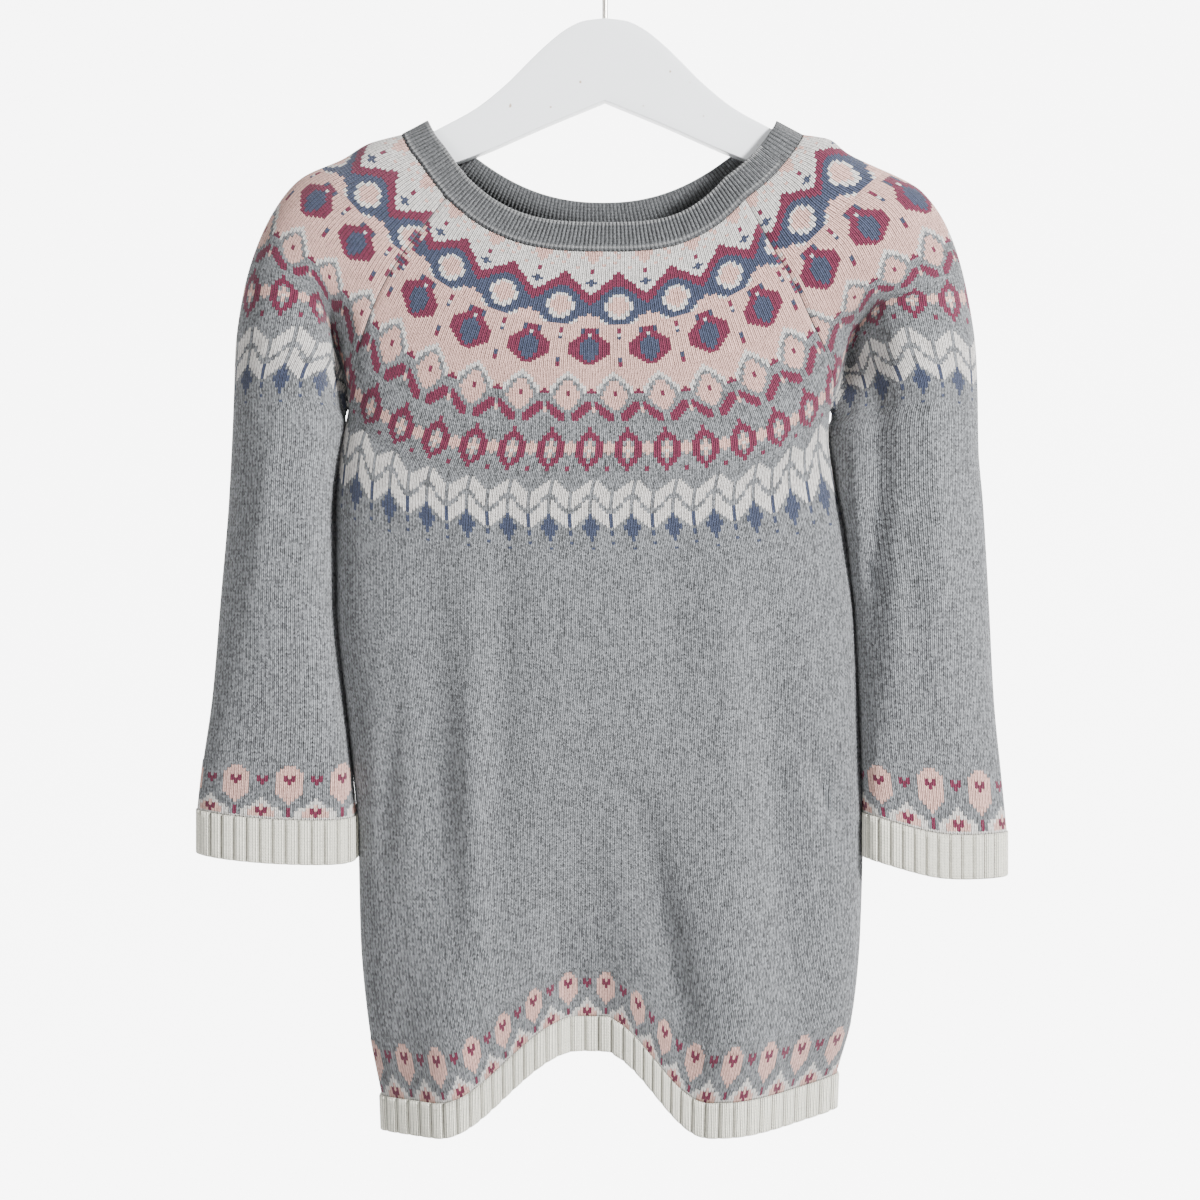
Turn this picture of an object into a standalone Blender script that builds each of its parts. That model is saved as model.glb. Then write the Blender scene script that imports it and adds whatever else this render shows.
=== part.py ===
# Child's knitted dress with a round patterned yoke and raglan sleeves, hung on a flat wooden hanger.
# Lengths in the tables are millimetres. The origin is the inside top of the hanger's hook, +Z is up,
# the front of the dress faces -Y and its left side, as a viewer sees it, is at -X.
# A course is one knitted row, counted down from the neck seam.
import math

import bmesh
import bpy
import numpy as np

MM = 0.001
WALL = 1.8  # thickness of the knitted cloth
SEAM_GAP = 0.3  # between two panels that are sewn together
RIB_GAP = 0.45  # between a ribbed edge and its panel
BODY_COLUMNS = 20
SLEEVE_COLUMNS = 18
FINE = 72  # steps along a body row before it is divided evenly
CONTROL_STEPS = 9  # steps from one control point of a sleeve row to the next
EDGE_CONTROL = 5  # the sleeve's outer edge among them
FOLD_REACH = 1.15  # a fold goes on past its bottom end by this share of its length
FOLD_HOLD = 0.7  # how closely the folds come to the seams
SQUARE = 3  # power of a body row's rounding towards its seams
NECK_DEPTH = 14.0  # the neck seam turns from the front to the back within this distance of y = 0
NECK_LEAN = 0.47  # share of the inward direction that is sideways at the shoulders
NECK_DOWN = 0.88  # and downwards
EASE_DOWN = 0.12  # slope of the cloth's inside at the front and back
SOFTEN_PASSES = 3
UNDERARM_TURN = 76  # course where the raglan seam's inside starts to turn up towards the underarm

UNDERARM_COURSE = 86
SLEEVE_UNDERARM_COURSE = 108
BODY_COURSES = (
    *(0, 6, 12, 20, 28, 36, 45, 54, 60, 66, 70, 74, 78, 82, 86),  # yoke, to the underarm
    *(92, 98, 104, 112, 126, 140, 157, 175, 192, 210, 225, 240, 251, 262, 271, 280),  # to the hem rib
)
SLEEVE_LOWER_COURSES = (113, 118, 125, 134, 143, 159, 176, 192, 209, 221, 232, 239, 246)
SAME_COURSES = 74  # down to here a sleeve course meets the body course of the same number

# Raglan seams, by course of the body: where the front or back panel meets the sleeve.
# Columns: course, x, y, z.
RAGLAN_FRONT_LEFT = (
    (0, -92, -17, -176),
    (20, -109, -21, -199),
    (36, -123, -23, -219),
    (54, -136, -22, -245),
    (66, -144, -16, -268),
    (74, -148.5, -7, -284),
    (86, -151, 4, -300),
)
RAGLAN_FRONT_RIGHT = (
    (0, 81, -18, -177),
    (20, 95, -22, -203),
    (36, 109, -24, -227),
    (54, 121, -22, -252),
    (66, 130, -15, -269),
    (74, 134, -6, -283),
    (86, 132, 5, -300),
)
RAGLAN_BACK_LEFT = (
    (0, -88, 12, -161),
    (20, -107, 15, -188),
    (36, -120, 18, -210),
    (54, -134, 20, -238),
    (66, -142, 18, -263),
    (74, -147, 14, -279),
    (86, -151, 4, -300),
)
RAGLAN_BACK_RIGHT = (
    (0, 85, 12, -161),
    (20, 101, 15, -188),
    (36, 113, 18, -210),
    (54, 122, 20, -238),
    (66, 129, 18, -263),
    (74, 133, 14, -279),
    (86, 132, 5, -300),
)

# Side seams below the underarm, by course of the body.
# Columns: course, left x, left z, right x, right z, y.
SIDE_SEAMS = (
    (86, -151, -300, 132, -300, 4.5),
    (92, -153.5, -312, 131, -313, 4.5),
    (104, -157, -341, 136, -347, 4),
    (112, -158, -359, 140, -365, 4),
    (140, -158, -412, 146, -414, 4),
    (175, -152, -474, 149, -476, 4),
    (210, -145, -545, 151.5, -540, 4),
    (240, -143.5, -606, 150, -602, 3),
    (262, -139, -656, 146, -647, 2),
    (280, -131, -698, 136, -685, 1),
)

# Rows of the front panel. mid_z and mid_y are at the panel's middle, the powers say how late the row
# climbs to its left and right end, round says how square the panel's edge is, and rise is how far the
# hem is drawn up at the middle.
# Columns: course, mid_x, mid_z, mid_y, left power, right power, round, rise.
FRONT_ROWS = (
    (0, 1, -208, -22, 3.0, 3.0, 1.0, 0),
    (20, 1, -238, -26, 2.3, 2.1, 1.0, 0),
    (36, 1, -264, -29, 3.0, 2.3, 1.0, 0),
    (54, 1, -289, -31, 3.5, 3.3, 0.9, 0),
    (74, -2, -321, -33, 4.2, 4.0, 0.7, 0),
    (92, -6, -350, -34, 3.6, 3.4, 0.5, 0),
    (104, -6, -369, -35, 3.3, 3.0, 0.5, 0),
    (112, -6, -382, -35, 3.2, 3.0, 0.5, 0),
    (140, -6, -428, -36, 3.0, 3.0, 0.5, 0),
    (175, -2, -486, -36, 3.0, 3.0, 0.5, 3),
    (210, 1, -548, -34, 3.0, 3.0, 0.5, 12),
    (240, 2, -606, -31, 3.0, 3.0, 0.5, 27),
    (262, 3, -656, -27, 3.0, 3.0, 0.5, 40),
    (280, 3, -699, -23, 3.0, 3.0, 0.5, 49),
)
HEM_RISE_LEFT = (-99, -15)  # the rise starts and is full
HEM_RISE_RIGHT = (60, -2)

# Rows of the back panel.
# Columns: course, mid_x, mid_z, mid_y, power, round.
BACK_ROWS = (
    (0, -1, -192, 15, 2.2, 1.0),
    (20, -1, -226, 19, 2.2, 1.0),
    (36, -1, -255, 22, 2.4, 1.0),
    (54, -2, -284, 25, 2.8, 0.9),
    (74, -3, -317, 27, 3.2, 0.7),
    (92, -6, -347, 28, 3.2, 0.5),
    (112, -6, -379, 29, 3.0, 0.5),
    (140, -6, -425, 30, 2.6, 0.5),
    (175, -2, -482, 30, 2.3, 0.5),
    (210, 1, -537, 29, 2.0, 0.5),
    (240, 2, -585, 27, 1.8, 0.5),
    (262, 3, -620, 25, 1.7, 0.5),
    (280, 3, -646, 23, 1.7, 0.5),
)

# Largest folds of the front and back: a soft ridge (negative depth comes forward on the front) along a
# line from top to bottom, growing from nothing at the top to its full depth at the bottom.
# Columns: top_x, top_z, bottom_x, bottom_z, width, depth.
FRONT_FOLDS = (
    (-78, -400, -88, -700, 34, -13),
    (62, -440, 78, -700, 34, -12),
    (-8, -470, -12, -680, 30, 9),
    (118, -470, 118, -700, 18, 4),
)
BACK_FOLDS = (
    (-60, -420, -78, -690, 32, 9),
    (50, -380, 64, -680, 30, 8),
    (0, -450, -6, -660, 28, -6),
)

# Rows of a sleeve, by its own course. A row runs from the front raglan seam into the valley beside the
# body, out to the fold at the front, over the face and brow to the outer edge, and round the back.
# Columns: course, then (x, y, z) of the valley, fold, face, brow, edge, shoulder, rear and inner.
SLEEVE_LEFT_ROWS = (
    (0, (-100, -16, -166), (-107, -14.5, -156), (-113, -12.5, -148), (-117, -9, -140.5),
     (-118.5, 0, -137), (-117, 9.5, -140), (-110, 12, -148), (-100, 12, -154.5)),
    (10, (-110, -19.5, -179), (-118, -18, -168.5), (-126, -16, -158), (-134, -11, -147.5),
     (-138, 0, -142.3), (-134, 11, -147.5), (-124, 14, -158), (-111, 14.5, -166.5)),
    (20, (-119, -22, -191), (-129, -21, -180), (-138, -19, -169), (-148, -12, -157),
     (-152.5, 0, -151), (-148, 11, -156), (-136, 15, -168), (-122, 16, -178)),
    (36, (-132, -24, -212), (-142, -24, -203), (-156, -22, -189), (-171, -14, -171),
     (-178, 0, -163), (-172, 13, -170), (-156, 18, -186), (-138, 19, -199)),
    (54, (-147, -22, -234), (-158, -24, -222), (-174, -24, -208), (-191, -15, -196),
     (-198, 0, -190), (-191, 14, -196), (-174, 20, -208), (-154, 21, -225)),
    (74, (-156, -2, -260), (-167, -21, -237), (-186, -25, -231), (-204, -15, -229),
     (-211, 0, -228), (-204, 15, -229), (-185, 21, -232), (-161, 20, -248)),
    (92, (-153, 4, -279), (-165, -20, -263), (-187, -25, -262), (-207, -15, -262),
     (-216, 0, -262), (-207, 16, -262), (-187, 22, -264), (-162, 19, -272)),
    (108, (-154.5, -6, -296), (-165, -21, -291), (-187, -25, -290), (-208, -15, -290),
     (-217, 0, -290), (-208, 16, -290), (-188, 22, -292), (-163, 18, -297)),
    (143, (-160.5, -6, -353), (-167, -21, -352), (-190, -25, -351), (-210, -15, -351),
     (-220, 0, -351), (-211, 16, -351), (-190, 22, -352), (-167, 20, -353)),
    (176, (-160.5, -6, -410), (-167, -20, -410), (-194, -24, -410), (-215, -14, -410),
     (-225, 0, -410), (-216, 15, -410), (-194, 21, -410), (-168, 19, -410)),
    (209, (-155, -5, -467), (-162, -18, -468), (-193, -22, -468), (-219, -13, -467),
     (-230, 0, -467), (-220, 13, -467), (-193, 19, -467), (-164, 17, -467)),
    (232, (-151, -5, -508), (-158, -15, -510), (-192, -18, -510), (-225, -11, -509),
     (-236, 0, -508), (-226, 11, -508), (-193, 15, -508), (-160, 14, -508)),
    (246, (-150, -4, -535), (-157, -13, -536.5), (-192, -16, -536), (-227, -10, -533),
     (-238.5, 0, -531), (-228, 9, -531), (-193, 12, -531), (-160, 12, -532)),
)
# Underarm line of each sleeve, where its rows start and end below the body.
# Columns: course, x, y, z.
SLEEVE_LEFT_UNDERARM = (
    (108, -151, 4, -300),
    (111, -154, 6, -304),
    (116, -157, 7.5, -312),
    (125, -160, 8, -327),
    (143, -161, 8, -353),
    (176, -161, 8, -410),
    (209, -155.5, 8, -467),
    (232, -151.5, 6, -508),
    (246, -150, 4, -532),
)
SLEEVE_RIGHT_ROWS = (
    (0, (92, -16, -168), (101, -14.5, -159), (108, -12.5, -150), (113.5, -9, -141.5),
     (115.5, 0, -137), (114, 9.5, -140), (107, 12, -148), (97, 12, -154.5)),
    (10, (98, -19.5, -182), (107.5, -18, -171.5), (117, -16, -160), (126, -11, -146.5),
     (130.5, 0, -139.6), (127, 11, -145.5), (118, 14, -157.5), (106, 14.5, -167)),
    (20, (104, -22, -195), (114, -21, -184), (126, -19, -170), (136, -12, -156),
     (142, 0, -148), (138, 11, -154), (127, 15, -168), (115, 16, -179)),
    (36, (119, -24, -221), (131, -24, -211), (150, -22, -194), (174, -14, -177),
     (185.5, 0, -170.5), (175, 13, -176), (156, 18, -189), (134, 19, -203)),
    (54, (131, -22, -247), (146, -24, -231), (163, -24, -219), (190, -15, -204),
     (202.5, 0, -197), (191, 14, -203), (170, 20, -215), (144, 21, -230)),
    (74, (145, -1, -254), (163, -21, -237), (186, -25, -235), (204, -15, -233),
     (212, 0, -231), (204, 15, -233), (186, 21, -236), (152, 20, -255)),
    (92, (144, 6, -273), (165, -20, -263), (188, -25, -263), (209, -15, -265),
     (217, 0, -266), (209, 16, -266), (188, 22, -268), (154, 20, -276)),
    (108, (141, -2, -297), (166.5, -21, -292), (190, -25, -290), (209, -15, -291),
     (218, 0, -292), (210, 16, -293), (188, 22, -295), (154, 20, -299)),
    (125, (151, -4, -323), (166, -21, -320), (190, -25, -320), (210, -15, -320),
     (218.5, 0, -321), (211, 16, -322), (188, 22, -323), (160, 21, -325)),
    (143, (157, -5, -354), (164, -21, -352), (190, -25, -351), (210, -15, -351),
     (221, 0, -351), (212, 16, -351), (190, 22, -353), (163, 20, -354)),
    (176, (153.5, -5, -410), (161.5, -20, -410), (191, -24, -410), (214, -14, -410),
     (224.5, 0, -410), (215, 15, -410), (191, 21, -410), (161, 19, -410)),
    (209, (151.5, -5, -467), (159.5, -18, -468), (191, -22, -469), (216, -13, -468),
     (227.5, 0, -468), (217, 13, -468), (191, 19, -468), (161, 17, -467)),
    (232, (153, -5, -508), (159, -15, -510), (192, -18, -512), (221, -11, -514),
     (232, 0, -514), (222, 11, -513), (192, 15, -511), (161, 14, -508)),
    (246, (154, -4, -533), (160, -13, -535), (192, -16, -544), (224, -10, -545),
     (235, 0, -544), (225, 9, -542), (192, 12, -539), (162, 12, -534)),
)
SLEEVE_RIGHT_UNDERARM = (
    (108, 132, 5, -300),
    (116, 140, 9, -308),
    (125, 147.5, 11, -325),
    (143, 156.5, 10, -355),
    (176, 153.5, 8, -410),
    (209, 151.5, 8, -467),
    (232, 153, 6, -508),
    (246, 154, 4, -533),
)

# Ribbed edges. Height is along the cloth; drop moves the lower edge straight down. Shape gives, across
# one rib, each point's place and how far it is raised; inner is how many points share one inside point.
FINE_RIB = ((0.0, 0.0), (0.5, 1.0))
BROAD_RIB = ((0.0, 0.0), (0.22, 1.0), (0.5, 1.0), (0.72, 0.0))
NECKBAND = {"ribs": 240, "height": 16.5, "raise": 0.5, "shape": FINE_RIB, "inner": 4, "wall": 1.9}
HEM_RIB = {"ribs": 40, "drop": 19.5, "raise": 1.0, "shape": BROAD_RIB, "inner": 4, "wall": WALL}
CUFF_RIB = {"ribs": 28, "drop": 25.0, "raise": 1.0, "shape": BROAD_RIB, "inner": 4, "wall": WALL}
HEM_PULL = 0.994  # the hem's lower edge is drawn in by this in width
RIB_ROWS = 2

# Hanger.
BOARD_THICK = 11.0
BOARD_ROUND = 3.0
HANGER_TOP = -70.0  # top of the board, below the hook's inside top
WIRE_RADIUS = 1.6
WIRE_DEPTH = 14.0
HOOK_RADIUS = 21.5
HOOK_LEAN = math.radians(60)  # the wire leans this far from upright between its bend and its ring
HOOK_BEND = 15.0  # radius of that bend
HOOK_END = math.radians(215)  # where the ring stops
BEND_STEPS = 6
RING_STEPS = 24
HOLE_SIDES = 16
HOLE_PROUD = 10.0  # how far the drill for the wire's hole stands out of the board
# The board's edges, as (x, z) from its middle outwards; the lower edge runs back to the middle.
BOARD_TOP_EDGE = (
    *((0, -70), (12, -71.5), (22, -76), (33, -84.5), (43, -94)),
    *((57, -108), (75, -122.5), (94, -133), (112, -141.8), (132, -148.4)),
)
BOARD_ARM_LEFT = ((150, -154.2), (166, -160.7), (176, -167.8), (178.5, -173), (173, -177))
BOARD_ARM_RIGHT = ((148, -155.3), (163, -162.7), (172, -168.4), (176, -175), (171, -179))
BOARD_LOWER_EDGE = ((140, -171.5), (110, -162), (85, -153.5), (73, -149), (34, -132), (0, -118))

COLOURS = {
    "front": (0.33, 0.34, 0.36),
    "back": (0.31, 0.32, 0.34),
    "sleeve": (0.32, 0.33, 0.35),
    "neckband": (0.24, 0.25, 0.26),
    "cream": (0.76, 0.75, 0.68),
    "board": (0.85, 0.86, 0.87),
    "wire": (0.45, 0.42, 0.38),
}


def between(keys, values, at):
    """Smooth curve through values at keys, with no overshoot, read at each place in at."""
    keys = np.asarray(keys, float)
    values = np.asarray(values, float)
    flat = values.reshape(len(keys), -1)
    step = np.diff(keys)
    slope = np.diff(flat, axis=0) / step[:, None]
    tangent = np.zeros_like(flat)
    tangent[0] = slope[0]
    tangent[-1] = slope[-1]
    for i in range(1, len(keys) - 1):
        before, after = slope[i - 1], slope[i]
        same_way = before * after > 0
        total = 3 * (step[i - 1] + step[i])
        share = (2 * step[i] + step[i - 1]) / np.where(same_way, before, 1)
        share = share + (step[i] + 2 * step[i - 1]) / np.where(same_way, after, 1)
        tangent[i] = np.where(same_way, total / share, 0)
    at = np.clip(np.atleast_1d(np.asarray(at, float)), keys[0], keys[-1])
    cell = np.clip(np.searchsorted(keys, at, side="right") - 1, 0, len(keys) - 2)
    width = step[cell][:, None]
    t = ((at - keys[cell]) / step[cell])[:, None]
    out = (
        (2 * t**3 - 3 * t**2 + 1) * flat[cell]
        + (t**3 - 2 * t**2 + t) * width * tangent[cell]
        + (3 * t**2 - 2 * t**3) * flat[cell + 1]
        + (t**3 - t**2) * width * tangent[cell + 1]
    )
    return out.reshape((len(at),) + values.shape[1:])


def row_at(table, course):
    """One row of a table of plain numbers, at any course."""
    table = np.asarray(table, float)
    return between(table[:, 0], table[:, 1:], course)[0]


def unit(v):
    v = np.asarray(v, float)
    return v / np.maximum(np.linalg.norm(v, axis=-1, keepdims=True), 1e-9)


def evenly(points, count):
    """Divide a line into equal lengths."""
    run = np.concatenate([[0], np.cumsum(np.linalg.norm(np.diff(points, axis=0), axis=1))])
    at = np.linspace(0, run[-1], count + 1)
    return np.stack([np.interp(at, run, points[:, i]) for i in range(3)], axis=1)


def through(points, steps):
    """Smooth line through control points, with even turning at each."""
    points = np.asarray(points, float)
    before = 2 * points[0] - points[1]
    after = 2 * points[-1] - points[-2]
    return catmull(np.vstack([before, points, after]), steps)


def round_loop(points, steps):
    """Smooth closed line through control points; the last is the first again."""
    points = np.asarray(points, float)
    return catmull(np.vstack([points[-2], points, points[1]]), steps)


def catmull(points, steps):
    """Centripetal spline; the first and last points only steer the ends."""
    knots = np.concatenate([[0], np.cumsum(np.linalg.norm(np.diff(points, axis=0), axis=1) ** 0.5)])
    out = []
    for i in range(1, len(points) - 2):
        t0, t1, t2, t3 = knots[i - 1 : i + 3]
        t = np.linspace(t1, t2, steps, endpoint=False)[:, None]
        a1 = (t1 - t) / (t1 - t0) * points[i - 1] + (t - t0) / (t1 - t0) * points[i]
        a2 = (t2 - t) / (t2 - t1) * points[i] + (t - t1) / (t2 - t1) * points[i + 1]
        a3 = (t3 - t) / (t3 - t2) * points[i + 1] + (t - t2) / (t3 - t2) * points[i + 2]
        b1 = (t2 - t) / (t2 - t0) * a1 + (t - t0) / (t2 - t0) * a2
        b2 = (t3 - t) / (t3 - t1) * a2 + (t - t1) / (t3 - t1) * a3
        out.append((t2 - t) / (t2 - t1) * b1 + (t - t1) / (t2 - t1) * b2)
    out.append(points[-2][None])
    return np.vstack(out)


def ease(x, start, end):
    """0 at start, 1 at end, with a soft beginning and finish."""
    t = np.clip((np.asarray(x, float) - start) / (end - start), 0, 1)
    return 0.5 - 0.5 * np.cos(math.pi * t)


def folded(points, folds):
    """Move a row's points in y by the folds that cross it."""
    moved = points.copy()
    for top_x, top_z, bottom_x, bottom_z, width, depth in folds:
        along = np.clip((top_z - points[:, 2]) / (top_z - bottom_z), 0, FOLD_REACH)
        axis_x = top_x + (bottom_x - top_x) * along
        across = (points[:, 0] - axis_x) / width
        moved[:, 1] += depth * ease(along, 0, 1) * np.exp(-across * across * 2)
    return moved


def seam_ends(course, front):
    """Left and right end of a body row, on the raglan seam or the side seam."""
    if course <= UNDERARM_COURSE:
        left = RAGLAN_FRONT_LEFT if front else RAGLAN_BACK_LEFT
        right = RAGLAN_FRONT_RIGHT if front else RAGLAN_BACK_RIGHT
        return row_at(left, course), row_at(right, course)
    left_x, left_z, right_x, right_z, y = row_at(SIDE_SEAMS, course)
    return np.array([left_x, y, left_z]), np.array([right_x, y, right_z])


def body_row(course, front):
    """One row of the front or back panel, from its left seam to its right seam."""
    left, right = seam_ends(course, front)
    if front:
        mid_x, mid_z, mid_y, left_power, right_power, square, rise = row_at(FRONT_ROWS, course)
    else:
        mid_x, mid_z, mid_y, left_power, square = row_at(BACK_ROWS, course)
        right_power, rise = left_power, 0
    turn = np.linspace(-math.pi / 2, math.pi / 2, FINE + 1)
    side = np.sin(turn)
    points = np.zeros((FINE + 1, 3))
    for end, power, here in ((left, left_power, side < 0), (right, right_power, side >= 0)):
        reach = np.abs(side[here])
        points[here, 0] = mid_x + (end[0] - mid_x) * reach
        points[here, 2] = mid_z + (end[2] - mid_z) * reach**power
        points[here, 1] = end[1] + (mid_y - end[1]) * (1 - reach**SQUARE) ** square
    x = points[:, 0]
    lift = np.where(x < mid_x, ease(x, *HEM_RISE_LEFT), ease(x, *HEM_RISE_RIGHT))
    points[:, 2] += rise * lift
    folds = FRONT_FOLDS if front else BACK_FOLDS
    free = folded(points, folds)
    hold = np.cos(turn)[:, None] ** FOLD_HOLD  # the folds fade out at the seams
    return points + (free - points) * hold


def sleeve_row(course, left_side):
    """One row of a sleeve, from the front seam round the outside to the back seam."""
    rows = SLEEVE_LEFT_ROWS if left_side else SLEEVE_RIGHT_ROWS
    courses = [row[0] for row in rows]
    controls = between(courses, [row[1:] for row in rows], course)[0]
    if course < SLEEVE_UNDERARM_COURSE:
        body_course = body_course_of(course)
        start = row_at(RAGLAN_FRONT_LEFT if left_side else RAGLAN_FRONT_RIGHT, body_course)
        end = row_at(RAGLAN_BACK_LEFT if left_side else RAGLAN_BACK_RIGHT, body_course)
        line = through(np.vstack([start, controls, end]), CONTROL_STEPS)
    else:
        under = row_at(SLEEVE_LEFT_UNDERARM if left_side else SLEEVE_RIGHT_UNDERARM, course)
        line = round_loop(np.vstack([under, controls, under]), CONTROL_STEPS)
    edge = EDGE_CONTROL * CONTROL_STEPS
    half = SLEEVE_COLUMNS // 2
    return np.vstack([evenly(line[: edge + 1], half), evenly(line[edge:], half)[1:]])


def body_course_of(sleeve_course):
    """The body's course that meets a sleeve's course at the raglan seam."""
    return np.interp(
        sleeve_course,
        (0, SAME_COURSES, SLEEVE_UNDERARM_COURSE),
        (0, SAME_COURSES, UNDERARM_COURSE),
    )


def sleeve_course_of(body_course):
    """The sleeve's course that meets a body's course at the raglan seam."""
    return float(
        np.interp(
            body_course,
            (0, SAME_COURSES, UNDERARM_COURSE),
            (0, SAME_COURSES, SLEEVE_UNDERARM_COURSE),
        )
    )


def neck_inward(point):
    """Direction into the dress at a point of the neck seam."""
    level = max(0.0, 1 - abs(point[1]) / NECK_DEPTH)
    side = -np.sign(point[0]) * NECK_LEAN * level
    down = NECK_DOWN * level + EASE_DOWN * (1 - level)
    return unit([side, -np.sign(point[1]) * (1 - level), -down])


def raglan_inward(course, front):
    """Direction into the dress at a raglan seam: level at the chest, up at the underarm."""
    turn = ease(course, UNDERARM_TURN, UNDERARM_COURSE)
    way = 1 if front else -1
    return unit([0, way * (1 - turn), turn - EASE_DOWN * (1 - turn)])


def grid_inward(grid, closed):
    """Inward directions over a grid of rows, from the surface itself."""
    if closed:
        across = np.roll(grid, -1, axis=1) - np.roll(grid, 1, axis=1)
    else:
        across = np.gradient(grid, axis=1)
    down = np.gradient(grid, axis=0)
    return unit(np.cross(across, down))


def softened(inward):
    """Even out inward directions in sharp valleys; those at the edges of the grid stay."""
    for _ in range(SOFTEN_PASSES):
        inner = inward[1:-1, 1:-1] * 2 + inward[1:-1, :-2] + inward[1:-1, 2:] + inward[:-2, 1:-1] + inward[2:, 1:-1]
        inward = inward.copy()
        inward[1:-1, 1:-1] = unit(inner)
    return inward


def shell(name, outer, inner, merged_from, material):
    """Closed wall between two grids. From row merged_from down, its last column is its first."""
    rows, columns = outer.shape[:2]
    mesh = bmesh.new()

    def add(grid):
        made = []
        for r in range(rows):
            line = [mesh.verts.new(grid[r, c] * MM) for c in range(columns)]
            if r >= merged_from:
                mesh.verts.remove(line[-1])
                line[-1] = line[0]
            made.append(line)
        return made

    out, ins = add(outer), add(inner)
    for r in range(rows - 1):
        for c in range(columns - 1):
            mesh.faces.new((out[r][c], out[r + 1][c], out[r + 1][c + 1], out[r][c + 1]))
            mesh.faces.new((ins[r][c], ins[r][c + 1], ins[r + 1][c + 1], ins[r + 1][c]))
        for c, flip in ((0, False), (columns - 1, True)):
            if r >= merged_from:
                continue
            quad = (out[r][c], ins[r][c], ins[r + 1][c], out[r + 1][c])
            mesh.faces.new(quad[::-1] if flip else quad)
    for c in range(columns - 1):
        mesh.faces.new((out[0][c], out[0][c + 1], ins[0][c + 1], ins[0][c]))
        mesh.faces.new((out[-1][c], ins[-1][c], ins[-1][c + 1], out[-1][c + 1]))
    return finish_mesh(name, mesh, material)


def finish_mesh(name, mesh, material):
    bmesh.ops.triangulate(mesh, faces=mesh.faces[:])
    bmesh.ops.recalc_face_normals(mesh, faces=mesh.faces[:])
    if mesh.calc_volume(signed=True) < 0:
        bmesh.ops.reverse_faces(mesh, faces=mesh.faces[:])
    data = bpy.data.meshes.new(name)
    mesh.to_mesh(data)
    mesh.free()
    data.materials.append(material)
    data.shade_smooth()
    data.set_sharp_from_angle(angle=math.radians(50))
    made = bpy.data.objects.new(name, data)
    bpy.context.scene.collection.objects.link(made)
    return made


def material(name, colour, roughness, metallic=0.0):
    made = bpy.data.materials.new(name)
    made.use_nodes = True
    shader = made.node_tree.nodes["Principled BSDF"]
    shader.inputs["Base Color"].default_value = (*colour, 1)
    shader.inputs["Roughness"].default_value = roughness
    shader.inputs["Metallic"].default_value = metallic
    return made


def seam_frame(points, inward):
    """Direction across a seam, along the cloth, for a line of seam points with inward directions."""
    along = unit(np.gradient(points, axis=0))
    return unit(np.cross(along, inward))


def seam_inwards(front):
    """Inward direction at the seams, by body course down to the hem; the side seams face the middle."""
    down_left, down_right = [], []
    for course in BODY_COURSES:
        if course == 0:
            left, right = seam_ends(0, front)
            down_left.append(neck_inward(left))
            down_right.append(neck_inward(right))
        elif course < UNDERARM_COURSE:
            down_left.append(raglan_inward(course, front))
            down_right.append(raglan_inward(course, front))
        elif course == UNDERARM_COURSE:
            down_left.append(unit([1, 0, 1]))
            down_right.append(unit([-1, 0, 1]))
        else:
            down_left.append(np.array([1.0, 0, 0]))
            down_right.append(np.array([-1.0, 0, 0]))
    return np.array(down_left), np.array(down_right)


def make_body(name, front, skin):
    """Front or back panel; gives its outer points and inward directions, for the pieces sewn to it."""
    grid = np.array([evenly(body_row(course, front), BODY_COLUMNS) for course in BODY_COURSES])
    inward = grid_inward(grid, False)
    if not front:
        inward = -inward
    left_in, right_in = seam_inwards(front)
    inward[:, 0], inward[:, -1] = left_in, right_in
    inward[0] = [neck_inward(p) for p in grid[0]]
    shift = np.zeros_like(grid)
    for column, ins in ((0, left_in), (-1, right_in)):
        across = seam_frame(grid[:, column], ins)
        toward = grid[:, 1 if column == 0 else -2] - grid[:, column]
        side = np.sign((across * toward).sum(axis=1))[:, None]
        shift[:, column] = across * side * SEAM_GAP / 2
    shift[0] += unit(grid[1] - grid[0]) * SEAM_GAP / 2
    outer = grid + shift
    shell(name, outer, outer + inward * WALL, len(grid), skin)
    return outer, inward


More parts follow.
